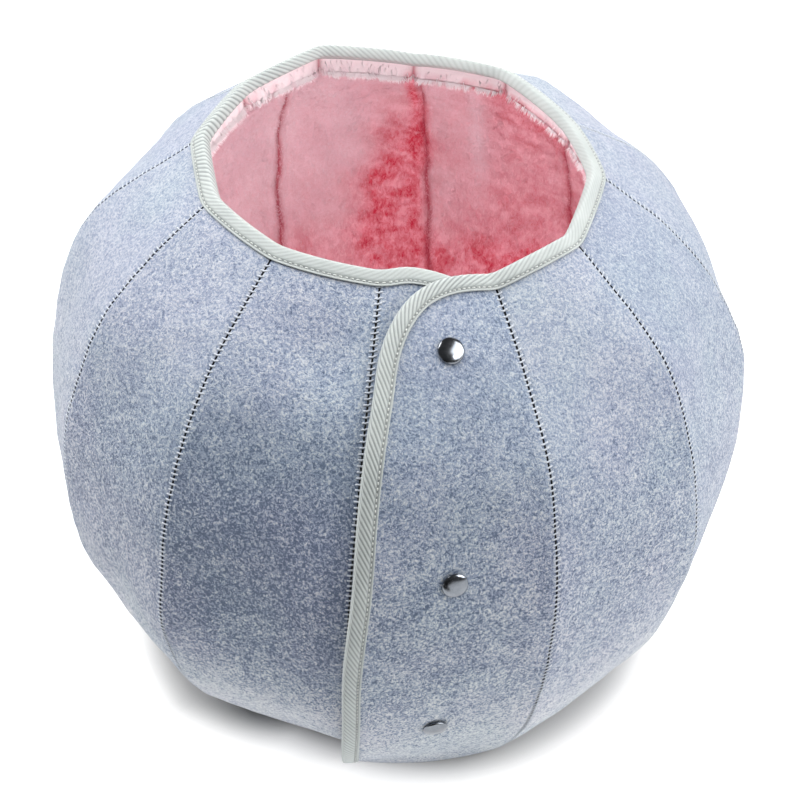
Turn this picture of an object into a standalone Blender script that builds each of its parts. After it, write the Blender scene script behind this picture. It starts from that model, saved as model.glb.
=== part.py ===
"""A felt cat cave: a ball of felt gores with a plush lining and an open, bound mouth.

Twelve gores close the ball. A thirteenth, the flap, lies over the under gore and snaps to it.
Seams are numbered anticlockwise from the flap's open edge, as seen from above.
"""
import math
from collections import namedtuple

import bmesh
import bpy
import numpy as np
from mathutils import Vector
from mathutils.geometry import intersect_point_line

MM = 0.001

# Driving sizes
RADIUS = 225 * MM  # a seam's distance from the ball's axis at the widest height
HEIGHT = 352 * MM  # floor to mouth
AXIS = Vector((0.0, 5.5 * MM, 0.0))  # where the ball's axis meets the floor
FELT = 3 * MM
PLUSH = 5 * MM
PINCHED = 1.2 * MM  # the plush where the tape grips it
GAP = 0.3 * MM
LAP = 11.4 * MM  # how far the flap stands out from the gore beside it, and the under gore in
TAPE = 0.9 * MM
TAPE_WIDTH = 10 * MM  # of the tape's leg on each face
PINCH_FROM = 14 * MM  # from the bound edge the plush swells up over this stretch
PINCH_TO = 24 * MM
BASE_LEVEL = 0.0
BASE_PLUSH_LEVEL = BASE_LEVEL + FELT + GAP
LINING_LEVEL = BASE_PLUSH_LEVEL + PLUSH + GAP

# The ball's outline: share of HEIGHT, share of RADIUS
OUTLINE = (
    (0.00, 0.722),
    (0.13, 0.872),
    (0.30, 0.974),
    (0.50, 1.000),
    (0.70, 0.932),
    (0.87, 0.769),
    (1.00, 0.502),
)
TWIST = math.radians(-3.5)  # of the foot against the mouth
MOUTH_TILT = Vector((-0.059, 0.049, 0.0))  # rise of the mouth's plane along X and Y

# One row a seam. In mm: how far the seam stands out at the shoulder, the flank and the hem,
# how far the mouth dips there, and how far the rim bows out between this seam and the next.
Seam = namedtuple("Seam", "azimuth shoulder flank hem dip bow")
SEAMS = (
    Seam(265.4, -3.0, -1.0, -3.0, -1.5, 1.5),
    Seam(295.9, -0.5, 4.0, 11.0, 4.0, 5.0),
    Seam(324.9, 1.0, 0.0, 0.0, 0.0, 3.0),
    Seam(357.6, -1.0, -0.5, 0.0, 0.0, 1.5),
    Seam(385.3, 2.5, 0.0, 0.0, 0.0, 1.5),
    Seam(416.0, 4.5, 0.0, 0.0, 0.0, 1.5),
    Seam(446.0, -1.0, 0.0, 0.0, 0.0, 1.0),
    Seam(476.0, 0.5, 0.0, 0.0, 0.0, 1.5),
    Seam(506.0, -2.0, 0.0, 0.0, 0.0, 1.5),
    Seam(538.0, 0.5, 0.0, 0.0, 0.0, 1.5),
    Seam(567.3, 0.0, -2.5, 0.0, 0.0, 2.0),
    Seam(595.4, -0.5, 1.0, 0.0, 0.0, 1.5),
)
# Where each swelling lies: share of HEIGHT at its middle, and its reach up and down
SHOULDER = (0.84, 0.15)
FLANK = (0.22, 0.20)
HEM = (0.0, 0.12)
CROWN = 1.5 * MM  # of a gore's face between its seams
LEVEL_UP_TO = 0.15  # share of HEIGHT below which what lies behind the felt keeps its level
FLAP_FOOT_BOW = 3.5 * MM  # further bow of the flap and the under gore at the floor

# The flap's free edge: share of HEIGHT, share of the way from its own seam line to the next
FLAP_EDGE = (
    (0.00, -0.065),
    (0.10, -0.020),
    (0.20, 0.005),
    (0.30, 0.015),
    (0.46, 0.018),
    (0.62, 0.035),
    (0.83, 0.047),
    (0.887, 0.072),
)
# A rounded corner is a Bezier curve, from the free side to the rim: share of the way across
# the gore, mm below the rim
FLAP_CORNER = ((0.072, 66), (0.06, 15), (0.50, 8), (1.0, 0))
UNDER_CORNER = ((0.93, 30), (0.95, 2), (0.75, 0), (0.0, 0))
UNDER_EDGE = 0.93

# The base's outline behind the under gore: share of the way across, and the room for its tape
BASE_STEPS = ((0.3, 0.0), (0.6, 0.0), (0.77, 0.0), (0.8, 5.5 * MM), (1.0, 5.5 * MM))

# Rows of points up a gore, and columns across it; a bound gore's are counted from its free
# side, and leave the tape and the snaps clear of its bends
ROWS = (0.0, 0.06, 0.13, 0.21, 0.305, 0.42, 0.54, 0.68, 0.80, 0.90, 0.963, 0.981, 1.0)
PLAIN_COLUMNS = (0.0, 1 / 3, 2 / 3, 1.0)
BOUND_COLUMNS = (0.0, 0.11, 0.3, 0.65, 0.83, 1.0)
CORNER_STEPS = 21  # for measuring a rounded corner
TAPE_END = 0.008  # share of the way up at which the tape's ends stop short of the floor

# Press snaps on the flap: share of the way across it, share of HEIGHT
SNAPS = ((0.53, 0.918), (0.50, 0.608), (0.475, 0.258))
SNAP_SIDES = 20
CAP_RADIUS = 7.5 * MM
FLANGE_RADIUS = 5.5 * MM
SHANK_RADIUS = 1.8 * MM
SEAT = 2 * GAP  # a snap's flanges stand this far off the felt
FELT_HOLE = SHANK_RADIUS + GAP
LINING_HOLE = FLANGE_RADIUS + 0.6 * MM

# Principled BSDF values: colour, roughness, metallic
FINISHES = {
    "felt": ((0.48, 0.54, 0.64), 0.95, 0.0),
    "plush": ((0.79, 0.36, 0.40), 1.0, 0.0),
    "tape": ((0.62, 0.67, 0.66), 0.8, 0.0),
    "snap": ((0.32, 0.33, 0.36), 0.2, 1.0),
}


def clear_scene():
    for thing in list(bpy.data.objects):
        bpy.data.objects.remove(thing, do_unlink=True)


def collection(name):
    group = bpy.data.collections.new(name)
    bpy.context.scene.collection.children.link(group)
    return group


def finish(name):
    colour, roughness, metallic = FINISHES[name]
    material = bpy.data.materials.new(name)
    material.use_nodes = True
    shader = material.node_tree.nodes["Principled BSDF"]
    shader.inputs["Base Color"].default_value = (*colour, 1.0)
    shader.inputs["Roughness"].default_value = roughness
    shader.inputs["Metallic"].default_value = metallic
    return material


def smooth_curve(rows):
    """A natural cubic spline through (x, y) rows, as a function of x."""
    xs, ys = np.array(rows, float).T
    steps = np.diff(xs)
    slopes = np.diff(ys) / steps
    count = len(xs)
    matrix = np.eye(count)
    target = np.zeros(count)
    for i in range(1, count - 1):
        matrix[i, i - 1 : i + 2] = steps[i - 1], 2 * (steps[i - 1] + steps[i]), steps[i]
        target[i] = 6 * (slopes[i] - slopes[i - 1])
    bend = np.linalg.solve(matrix, target)

    def value(x):
        i = int(np.clip(np.searchsorted(xs, x) - 1, 0, count - 2))
        along, step = x - xs[i], steps[i]
        slope = slopes[i] - step * (2 * bend[i] + bend[i + 1]) / 6
        cubic = (bend[i + 1] - bend[i]) * along / (6 * step)
        return float(ys[i] + along * (slope + along * (bend[i] / 2 + cubic)))

    return value


def smoothstep(low, high, x):
    share = min(max((x - low) / (high - low), 0.0), 1.0)
    return share * share * (3 - 2 * share)


def bezier(points, share):
    rest = 1 - share
    weights = (rest**3, 3 * rest**2 * share, 3 * rest * share**2, share**3)
    return tuple(sum(w * p[i] for w, p in zip(weights, points)) for i in (0, 1))


outline = smooth_curve(OUTLINE)
flap_edge = smooth_curve(FLAP_EDGE)


def swelling(up, place):
    middle, reach = place
    return math.exp(-(((up - middle) / reach) ** 2))


def seam_radius(seam, up):
    swell = (
        seam.shoulder * swelling(up, SHOULDER)
        + seam.flank * swelling(up, FLANK)
        + seam.hem * swelling(up, HEM)
    )
    return RADIUS * outline(up) + swell * MM


def seam_slope(seam, up):
    """The run and the rise, as shares of a step up the seam's line."""
    step = 0.001
    rise = HEIGHT * 2 * step
    run = seam_radius(seam, up + step) - seam_radius(seam, up - step)
    length = math.hypot(run, rise)
    return run / length, rise / length


def seam_point(index, up, inward):
    """A point on the seam's line, moved in from the felt's face.

    It moves along the face's normal, and at the foot level with the floor.
    """
    seam = SEAMS[index % len(SEAMS)]
    level = 1 - smoothstep(0.0, LEVEL_UP_TO, up)
    along = up
    for _ in range(4):
        run, rise = seam_slope(seam, along)
        along = up - level * inward * run / HEIGHT
    radius = seam_radius(seam, along) - inward * rise
    height = HEIGHT * along + inward * run
    height += level * (HEIGHT * up - height)
    turn = math.radians(seam.azimuth) + TWIST * (1 - up)
    point = Vector((radius * math.cos(turn), radius * math.sin(turn), height))
    point.z += up**3 * MOUTH_TILT.dot(point)
    return point


def meridian():
    """Distances below the mouth along the outline, for finding a height from them."""
    shares = np.linspace(1.0, 0.0, 401)
    points = np.array([(RADIUS * outline(s), HEIGHT * s) for s in shares])
    lengths = np.linalg.norm(np.diff(points, axis=0), axis=1)
    return np.concatenate([[0.0], np.cumsum(lengths)]), shares


BELOW, SHARE_UP = meridian()


def up_at(below):
    """The share of HEIGHT at a distance below the mouth, measured over the cloth."""
    if below < 0:
        return 1.0 - below * (SHARE_UP[1] - 1.0) / BELOW[1]
    return float(np.interp(below, BELOW, SHARE_UP))


class Gore:
    """One gore's place in the ball, between seam number `seam` and the next one.

    out_left and out_right move its sides out from the seams' lines, and top holds a pair for
    each column of points: its share of the cloth's width, and its distance below the rim.
    """

    sewn_left = True
    sewn_right = True

    def __init__(self, name, seam, out_left=0.0, out_right=0.0, top=None, foot_bow=0.0):
        self.name = name
        self.seam = seam
        self.out_left = out_left
        self.out_right = out_right
        self.top = top or [(column, 0.0) for column in PLAIN_COLUMNS]
        self.foot_bow = foot_bow

    def sides(self, up):
        """Shares of the way across at which the cloth starts and ends, at a height."""
        return 0.0, 1.0

    def dip(self, across):
        left = SEAMS[self.seam % len(SEAMS)].dip
        right = SEAMS[(self.seam + 1) % len(SEAMS)].dip
        return (left + (right - left) * across) * MM

    def bow(self, across, up):
        rim_bow = SEAMS[self.seam % len(SEAMS)].bow * MM
        arch = 4 * across * (1 - across)
        at_rim = (rim_bow - CROWN) * smoothstep(0.8, 1.0, up)
        return arch * (CROWN + at_rim + self.foot_bow * swelling(up, HEM))

    def surface(self, across, up, inward=0.0):
        """A point of the gore by shares across and up, and a distance in from its face."""
        depth = inward - self.bow(across, up)
        left = seam_point(self.seam, up, depth - self.out_left)
        right = seam_point(self.seam + 1, up, depth - self.out_right)
        return left.lerp(right, across)

    def normal(self, across, up):
        """The way out from the gore's face."""
        step = 0.002
        along = self.surface(across + step, up) - self.surface(across - step, up)
        rise = self.surface(across, up + step) - self.surface(across, up - step)
        return along.cross(rise).normalized()

    def height(self, column, row):
        """The share of HEIGHT at a share of the way up one of the cloth's columns."""
        below = float(np.interp(column, *zip(*self.top)))
        return row * up_at(below + self.dip(self.across(column, 1.0, 0.0)))

    def place(self, column, row, inward, retreat):
        """A point of the cloth: column and row run from 0 to 1 over its own outline.

        retreat is the room that each sewn edge leaves.
        """
        up = self.height(column, row)
        return self.surface(self.across(column, up, retreat), up, inward)

    def across(self, column, up, retreat):
        left, right = self.sides(up)
        width = (seam_point(self.seam + 1, up, 0.0) - seam_point(self.seam, up, 0.0)).length
        left += retreat / width if self.sewn_left else 0.0
        right -= retreat / width if self.sewn_right else 0.0
        return left + (right - left) * column

    def bound_edge(self):
        """(column, row) pairs along the edge that the tape covers."""
        return [(column, 1.0) for column, _ in self.top]


class RoundedGore(Gore):
    """A gore with a free side and a rounded corner at the rim.

    edge gives the free side's share across at a share of HEIGHT below the corner. The
    corner's lower half carries that side on, and its upper half is part of the rim.
    """

    def __init__(self, name, seam, out_left, out_right, corner, edge, free_left):
        self.edge = edge
        self.free_left = free_left
        self.sewn_left = not free_left
        self.sewn_right = free_left
        side = [bezier(corner, share) for share in np.linspace(0.0, 0.5, CORNER_STEPS)]
        rim = [bezier(corner, share) for share in np.linspace(0.5, 1.0, CORNER_STEPS)]
        self.side_ups = [up_at(below * MM) for _, below in side]
        self.side_shares = [across for across, _ in side]
        start, end = rim[0][0], rim[-1][0]
        columns = [(across - start) / (end - start) for across, _ in rim]
        belows = [below * MM for _, below in rim]
        top = [(column, float(np.interp(column, columns, belows))) for column in BOUND_COLUMNS]
        if not free_left:
            top = [(1 - column, below) for column, below in reversed(top)]
        super().__init__(name, seam, out_left, out_right, top, FLAP_FOOT_BOW)

    def sides(self, up):
        if up < self.side_ups[0]:
            side = self.edge(up)
        else:
            side = float(np.interp(up, self.side_ups, self.side_shares))
        return (side, 1.0) if self.free_left else (0.0, side)

    def bound_edge(self):
        free = 0.0 if self.free_left else 1.0
        side = [(free, TAPE_END)] + [(free, row) for row in ROWS[1:-1]]
        top = [(column, 1.0) for column, _ in self.top]
        return side + top if self.free_left else top + side[::-1]


def make_gores():
    count = len(SEAMS)
    gores = [Gore(f"{seam:02d}", seam) for seam in range(1, count)]
    under = RoundedGore("under", count, 0.0, -LAP, UNDER_CORNER, lambda up: UNDER_EDGE, False)
    flap = RoundedGore("flap", 0, LAP, 0.0, FLAP_CORNER, flap_edge, True)
    return gores, under, flap


def grid_object(name, across, up, place, group, material):
    """An open sheet of across x up faces; place(i, j) gives each of its points."""
    bm = bmesh.new()
    bmesh.ops.create_grid(bm, x_segments=across, y_segments=up, size=0.5)
    for vertex in bm.verts:
        i = round((vertex.co.x + 0.5) * across)
        j = round((vertex.co.y + 0.5) * up)
        vertex.co = place(i, j)
    mesh = bpy.data.meshes.new(name)
    bm.to_mesh(mesh)
    bm.free()
    mesh.materials.append(material)
    sheet = bpy.data.objects.new(name, mesh)
    group.objects.link(sheet)
    return sheet


def thicken(sheet, thickness, side):
    """Solidify a sheet: side is -1 for thickness behind its faces, or 1 for in front."""
    solidify = sheet.modifiers.new("thickness", "SOLIDIFY")
    solidify.thickness = thickness
    solidify.offset = side
    solidify.use_even_offset = True
    return solidify


def make_felt(gore, group, material):
    retreat = FELT * math.tan(math.pi / len(SEAMS)) + GAP / 2
    columns = [column for column, _ in gore.top]

    def place(i, j):
        return gore.place(columns[i], ROWS[j], 0.0, retreat)

    name = f"gore_{gore.name}"
    sheet = grid_object(name, len(columns) - 1, len(ROWS) - 1, place, group, material)
    thicken(sheet, FELT, -1)
    return sheet


def edge_distance(point, edge):
    """The distance from a point to a chain of points."""
    nearest = []
    for start, end in zip(edge, edge[1:]):
        foot, share = intersect_point_line(point, start, end)
        foot = start.lerp(end, min(max(share, 0.0), 1.0))
        nearest.append((point - foot).length)
    return min(nearest)


def make_lining(gore, group, material):
    retreat = PLUSH * math.tan(math.pi / len(SEAMS)) + GAP / 2
    behind = FELT + 2.5 * GAP
    columns = [column for column, _ in gore.top]
    edge = [gore.place(column, row, behind, retreat) for column, row in gore.bound_edge()]

    def place(i, j):
        if j > 0:
            return gore.place(columns[i], ROWS[j], behind, retreat)
        foot = gore.place(columns[i], ROWS[0], behind + GAP, retreat)
        above = gore.place(columns[i], ROWS[1], behind, retreat)
        return foot.lerp(above, (LINING_LEVEL - foot.z) / (above.z - foot.z))

    name = f"lining_{gore.name}"
    across, up = len(columns) - 1, len(ROWS) - 1
    sheet = grid_object(name, across, up, place, group, material)
    pile = sheet.vertex_groups.new(name="pile")
    for vertex in sheet.data.vertices:
        away = edge_distance(vertex.co, edge)
        thickness = PINCHED + (PLUSH - PINCHED) * smoothstep(PINCH_FROM, PINCH_TO, away)
        pile.add([vertex.index], thickness / PLUSH, "REPLACE")
    solidify = thicken(sheet, PLUSH, -1)
    solidify.vertex_group = pile.name
    return sheet


def tape_stations(gores, under, flap):
    """Points along the bound edge, each with the felt's normal and the way off the cloth.

    The tape runs up the flap's free edge, round its corner and along its rim, once round the
    mouth, along the under gore's rim and down that gore's free edge. At a seam the normals of
    both gores make a mitre.
    """
    points, normals = [], []
    for gore in (flap, *gores, under):
        for column, row in gore.bound_edge():
            up = gore.height(column, row)
            across = gore.across(column, up, 0.0)
            point = gore.surface(across, up)
            normal = gore.normal(across, up)
            if points and (point - points[-1]).length < GAP:
                both = normals[-1] + normal
                normals[-1] = both * 2 / both.length_squared
            else:
                points.append(point)
                normals.append(normal)
    stations = []
    last = len(points) - 1
    for i, (point, normal) in enumerate(zip(points, normals)):
        tangent = points[min(i + 1, last)] - points[max(i - 1, 0)]
        stations.append((point, normal, normal.cross(tangent).normalized()))
    return stations


def make_tape(stations, group, material):
    """A folded strip over the bound edge, with a leg on the felt and one on the lining."""
    near, far = -GAP, FELT + PINCHED + 7 * GAP
    # Across the strip: distance in from the felt's face, distance off the cloth's edge
    section = (
        (near - GAP, -TAPE_WIDTH),
        (near, GAP),
        ((near + far) / 2, 3 * GAP),
        (far, GAP),
        (far + 4 * GAP, -TAPE_WIDTH),
    )

    def place(i, j):
        point, normal, off_cloth = stations[i]
        inward, off = section[j]
        return point - normal * inward + off_cloth * off

    last = len(stations) - 1
    strip = grid_object("binding", last, len(section) - 1, place, group, material)
    thicken(strip, TAPE, 1)
    return strip


def lathe(name, profile, group, material):
    """A turned solid about its own Z axis, from (radius, height) rows, top to bottom."""
    mesh = bpy.data.meshes.new(name)
    rows = [(radius, 0.0, height) for radius, height in profile]
    mesh.from_pydata(rows, [(i, i + 1) for i in range(len(rows) - 1)], [])
    mesh.materials.append(material)
    turned = bpy.data.objects.new(name, mesh)
    group.objects.link(turned)
    screw = turned.modifiers.new("turn", "SCREW")
    screw.steps = SNAP_SIDES
    screw.render_steps = SNAP_SIDES
    screw.use_merge_vertices = True
    screw.merge_threshold = 0.00005
    return turned


def cap_profile():
    """The cap's dome on the felt, its shank through the flap, and its socket behind."""
    dome, edge = 3.6 * MM, 1.1 * MM
    rows = []
    for i in range(6):
        turn = math.pi / 2 * i / 5
        rows.append((CAP_RADIUS * math.sin(turn), edge + (dome - edge) * math.cos(turn)))
    behind = -(FELT + SEAT)
    rows += [
        (CAP_RADIUS, SEAT),
        (SHANK_RADIUS, SEAT),
        (SHANK_RADIUS, behind),
        (FLANGE_RADIUS, behind),
        (FLANGE_RADIUS, behind - 2.4 * MM),
        (2.6 * MM, behind - 2.4 * MM),
        (2.6 * MM, behind - 1.0 * MM),
        (0.0, behind - 1.0 * MM),
    ]
    return rows


def stud_profile():
    """The stud that enters the socket, its shank through the under gore, and its back."""
    behind = -(FELT + SEAT)
    return [
        (0.0, 5.0 * MM),
        (1.6 * MM, 5.0 * MM),
        (2.0 * MM, 4.4 * MM),
        (1.7 * MM, 3.6 * MM),
        (1.7 * MM, 1.2 * MM),
        (FLANGE_RADIUS, 1.2 * MM),
        (FLANGE_RADIUS, SEAT),
        (SHANK_RADIUS, SEAT),
        (SHANK_RADIUS, behind),
        (FLANGE_RADIUS, behind),
        (FLANGE_RADIUS, behind - 1.6 * MM),
        (0.0, behind - 2.2 * MM),
    ]


def seat(thing, point, normal):
    thing.location = point
    thing.rotation_euler = normal.to_track_quat("Z", "Y").to_euler()


def snap_cutter(name, radius, point, normal, group):
    bm = bmesh.new()
    bmesh.ops.create_cone(
        bm,
        cap_ends=True,
        segments=SNAP_SIDES,
        radius1=radius,
        radius2=radius,
        depth=60 * MM,
    )
    mesh = bpy.data.meshes.new(name)
    bm.to_mesh(mesh)
    bm.free()
    cutter = bpy.data.objects.new(name, mesh)
    cutter.hide_render = True
    cutter.display_type = "WIRE"
    group.objects.link(cutter)
    seat(cutter, point, normal)
    return cutter


def cut(sheet, cutter):
    hole = sheet.modifiers.new(cutter.name, "BOOLEAN")
    hole.operation = "DIFFERENCE"
    hole.object = cutter


def make_snaps(under, flap, felts, linings, group, cutters, material):
    """Three snaps: caps on the flap, studs on the under gore, and the holes they pass."""
    bpy.context.view_layer.update()
    graph = bpy.context.evaluated_depsgraph_get()
    faces = {gore.name: felts[gore.name].evaluated_get(graph) for gore in (under, flap)}
    pieces = []
    holes = []
    for number, (across, up) in enumerate(SNAPS, start=1):
        _, point, _, _ = faces["flap"].closest_point_on_mesh(flap.surface(across, up))
        normal = flap.normal(across, up)
        _, behind, _, _ = faces["under"].ray_cast(point - normal * LAP / 2, -normal)
        cap = lathe(f"snap_cap_{number}", cap_profile(), group, material)
        seat(cap, point, normal)
        stud = lathe(f"snap_stud_{number}", stud_profile(), group, material)
        seat(stud, behind, normal)
        pieces += [cap, stud]
        for name, radius in (("felt", FELT_HOLE), ("lining", LINING_HOLE)):
            cutter = snap_cutter(f"{name}_hole_{number}", radius, point, normal, cutters)
            holes.append((felts if name == "felt" else linings, cutter))
    for sheets, cutter in holes:
        cut(sheets["under"], cutter)
        cut(sheets["flap"], cutter)
    return pieces


def base_outline(under, inset):
    """Corners of the base, inside the gores' lower edges, with room for the under gore."""
    corners = []
    for index in range(1, len(SEAMS) + 1):
        corner = seam_point(index, 0.0, 0.0)
        radial = Vector((corner.x, corner.y, 0.0)).normalized()
        corners.append(corner - radial * inset)
    for across, further in BASE_STEPS:
        point = under.surface(across, 0.0)
        radial = Vector((point.x, point.y, 0.0)).normalized()
        corners.append(point - radial * (inset + further))
    return corners


def make_base(name, under, inset, thickness, level, group, material):
    """A flat round with a corner at each seam."""
    curve = bpy.data.curves.new(name, "CURVE")
    curve.dimensions = "2D"
    curve.fill_mode = "BOTH"
    curve.extrude = thickness / 2
    corners = base_outline(under, inset)
    spline = curve.splines.new("POLY")
    spline.points.add(len(corners) - 1)
    for point, corner in zip(spline.points, corners):
        point.co = (corner.x, corner.y, 0.0, 1.0)
    spline.use_cyclic_u = True
    curve.materials.append(material)
    base = bpy.data.objects.new(name, curve)
    base.location.z = level + thickness / 2
    group.objects.link(base)
    return base


def main():
    clear_scene()
    cave = collection("cat_cave")
    cutters = collection("cutters")
    finishes = {name: finish(name) for name in FINISHES}
    gores, under, flap = make_gores()
    felts = {}
    linings = {}
    for gore in (*gores, under, flap):
        felts[gore.name] = make_felt(gore, cave, finishes["felt"])
        linings[gore.name] = make_lining(gore, cave, finishes["plush"])
    tape = make_tape(tape_stations(gores, under, flap), cave, finishes["tape"])
    snaps = make_snaps(under, flap, felts, linings, cave, cutters, finishes["snap"])
    base = make_base("base_felt", under, 3.0 * MM, FELT, BASE_LEVEL, cave, finishes["felt"])
    pad = make_base(
        "base_lining", under, 1.8 * MM, PLUSH, BASE_PLUSH_LEVEL, cave, finishes["plush"]
    )
    axis = bpy.data.objects.new("ball_axis", None)
    cave.objects.link(axis)
    axis.location = AXIS
    for piece in (*felts.values(), *linings.values(), tape, *snaps, base, pad):
        piece.parent = axis
    for cutter in cutters.objects:
        cutter.parent = axis


main()
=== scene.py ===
"""The felt cat cave's looks: felt gores, ladder stitching, ribbed tape, plush and snaps.

Every piece follows the solids' own shape, worked out here again from the same sizes, in metres.
"""
import math
from collections import namedtuple

import bmesh
import bpy
import numpy as np
from mathutils import Matrix, Vector
from mathutils.bvhtree import BVHTree


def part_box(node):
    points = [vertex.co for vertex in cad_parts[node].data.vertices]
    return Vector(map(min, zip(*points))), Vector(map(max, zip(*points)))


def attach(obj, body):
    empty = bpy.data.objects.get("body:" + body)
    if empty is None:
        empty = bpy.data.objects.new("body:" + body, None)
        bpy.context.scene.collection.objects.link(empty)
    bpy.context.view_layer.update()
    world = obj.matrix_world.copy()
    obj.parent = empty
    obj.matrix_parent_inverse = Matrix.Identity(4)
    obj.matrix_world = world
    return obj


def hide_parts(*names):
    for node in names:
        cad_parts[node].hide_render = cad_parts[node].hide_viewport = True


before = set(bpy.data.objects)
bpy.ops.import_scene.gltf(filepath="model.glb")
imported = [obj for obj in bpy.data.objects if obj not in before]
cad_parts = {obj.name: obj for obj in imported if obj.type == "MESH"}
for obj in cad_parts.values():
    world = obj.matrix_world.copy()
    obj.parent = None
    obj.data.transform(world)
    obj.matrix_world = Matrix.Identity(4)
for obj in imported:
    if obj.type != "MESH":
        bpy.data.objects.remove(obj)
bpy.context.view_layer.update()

MM = 0.001
SEED = 20

# The ball, as the solids have it, but that the rim bows out less after the eighth seam
RADIUS = 225 * MM  # a seam's distance from the ball's axis at the widest height
HEIGHT = 352 * MM  # floor to mouth
AXIS = np.array([0.0, 5.5 * MM, 0.0])  # where the ball's axis meets the floor
UP = np.array([0.0, 0.0, 1.0])
FELT = 3 * MM
PLUSH = 5 * MM
PINCHED = 1.2 * MM  # the plush where the tape grips it
GAP = 0.3 * MM
LAP = 11.4 * MM  # how far the flap stands out from the gore beside it, and the under gore in
TAPE = 0.9 * MM
BASE_PLUSH_LEVEL = FELT + GAP
LINING_LEVEL = BASE_PLUSH_LEVEL + PLUSH + GAP
OUTLINE = (  # share of HEIGHT, share of RADIUS
    (0.00, 0.722),
    (0.13, 0.872),
    (0.30, 0.974),
    (0.50, 1.000),
    (0.70, 0.932),
    (0.87, 0.769),
    (1.00, 0.502),
)
TWIST = math.radians(-3.5)  # of the foot against the mouth
MOUTH_TILT = np.array([-0.059, 0.049, 0.0])  # rise of the mouth's plane along X and Y
# One row a seam. In mm: how far it stands out at the shoulder, flank and hem, how far the
# mouth dips there, and how far the rim bows out between this seam and the next.
Seam = namedtuple("Seam", "azimuth shoulder flank hem dip bow")
SEAMS = (
    Seam(265.4, -3.0, -1.0, -3.0, -1.5, 1.5),
    Seam(295.9, -0.5, 4.0, 11.0, 4.0, 5.0),
    Seam(324.9, 1.0, 0.0, 0.0, 0.0, 3.0),
    Seam(357.6, -1.0, -0.5, 0.0, 0.0, 1.5),
    Seam(385.3, 2.5, 0.0, 0.0, 0.0, 1.5),
    Seam(416.0, 4.5, 0.0, 0.0, 0.0, 1.5),
    Seam(446.0, -1.0, 0.0, 0.0, 0.0, 1.0),
    Seam(476.0, 0.5, 0.0, 0.0, 0.0, 0.5),
    Seam(506.0, -2.0, 0.0, 0.0, 0.0, 1.5),
    Seam(538.0, 0.5, 0.0, 0.0, 0.0, 1.5),
    Seam(567.3, 0.0, -2.5, 0.0, 0.0, 2.0),
    Seam(595.4, -0.5, 1.0, 0.0, 0.0, 1.5),
)
COUNT = len(SEAMS)
SHOULDER = (0.84, 0.15)  # each swelling's middle as a share of HEIGHT, and its reach
FLANK = (0.22, 0.20)
HEM = (0.0, 0.12)
CROWN = 1.5 * MM  # of a gore's face between its seams
LEVEL_UP_TO = 0.15  # share of HEIGHT below which what lies behind the felt keeps its level
FLOOR_GAP = 0.3 * MM  # of the tape's cut ends
FLAP_FOOT_BOW = 3.5 * MM  # further bow of the flap and the under gore at the floor
FLAP_EDGE = (  # share of HEIGHT, share of the way from its own seam line to the next
    (0.00, -0.065),
    (0.10, -0.020),
    (0.20, 0.005),
    (0.30, 0.015),
    (0.46, 0.018),
    (0.62, 0.035),
    (0.83, 0.047),
    (0.887, 0.072),
)
# Each top corner's curve: share of the way across, and mm below the rim
FLAP_CORNER = ((0.072, 66), (0.06, 15), (0.50, 8), (1.0, 0))
UNDER_CORNER = ((0.93, 30), (0.95, 2), (0.75, 0), (0.0, 0))
UNDER_EDGE = 0.93  # share of the way across at which the under gore's free edge runs
# The base under the under gore: share of the way across, and how much further in it lies
BASE_STEPS = ((0.3, 0.0), (0.6, 0.0), (0.77, 0.0), (0.8, 5.5 * MM), (1.0, 5.5 * MM))
SNAPS = ((0.53, 0.918), (0.50, 0.608), (0.475, 0.258))  # share across the flap, share of HEIGHT
CAP_RADIUS = 7.5 * MM
FLANGE_RADIUS = 5.5 * MM
SHANK_RADIUS = 1.8 * MM
SEAT = 2 * GAP  # a snap's flanges stand this far off the felt

# What the solids leave out
# Soft bulges of the cloth: middle and reach are shares of HEIGHT, out and up are in mm
Lump = namedtuple("Lump", "seam middle reach out up")
LUMPS = (  # at the seams
    Lump(0, 1.00, 0.06, -2.2, 0.0),
    Lump(1, 1.00, 0.06, 2.2, 0.0),
    Lump(2, 1.00, 0.10, 5.0, 0.0),
    Lump(3, 1.00, 0.08, 2.5, 0.0),
    Lump(3, 0.62, 0.15, 2.5, 0.0),
    Lump(4, 1.00, 0.05, -2.5, -1.0),
    Lump(4, 0.84, 0.12, 2.3, 1.0),
    Lump(5, 0.90, 0.07, 3.9, 3.1),
    Lump(6, 1.00, 0.08, -2.3, -1.9),
    Lump(7, 1.00, 0.08, 3.4, 2.7),
    Lump(8, 1.00, 0.05, 1.0, 0.0),
    Lump(8, 0.84, 0.09, 1.0, 1.0),
    Lump(9, 1.00, 0.03, 3.2, 0.0),
    Lump(9, 0.72, 0.11, 3.6, 0.0),
    Lump(9, 0.40, 0.12, 2.5, 0.0),
    Lump(10, 1.00, 0.10, 4.5, 0.0),
    Lump(11, 1.00, 0.10, 3.0, 0.0),
)
BULGES = (  # at the middle of the gore that begins at each seam
    Lump(0, 1.00, 0.06, -1.8, 0.7),
    Lump(COUNT, 1.00, 0.06, -1.8, 0.7),
    Lump(1, 1.00, 0.10, 1.5, 0.0),
    Lump(8, 0.80, 0.10, -3.0, 0.0),
    Lump(10, 1.00, 0.10, 1.5, -0.5),
    Lump(11, 1.00, 0.10, 3.0, 0.0),
)
RELIEF = 0.9 * MM  # the felt's unevenness
RIPPLE = 0.16 * MM  # and its finer part
EDGE_DROP = 0.6 * MM  # the felt's rounding along a sewn edge
EDGE_REACH = 1.6 * MM
GROOVE = 0.62 * MM  # half a seam groove's width
GROOVE_SHUT = 0.18  # the share of it left where the seam is pressed shut
SEAM_HIGHLIGHT_REACH = 1.3 * MM  # how far the painted highlight along a seam reaches from it
STITCH_PITCH = 3.3 * MM
STITCH_REACH = 2.4 * MM  # of a rung to each side of the seam
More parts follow.
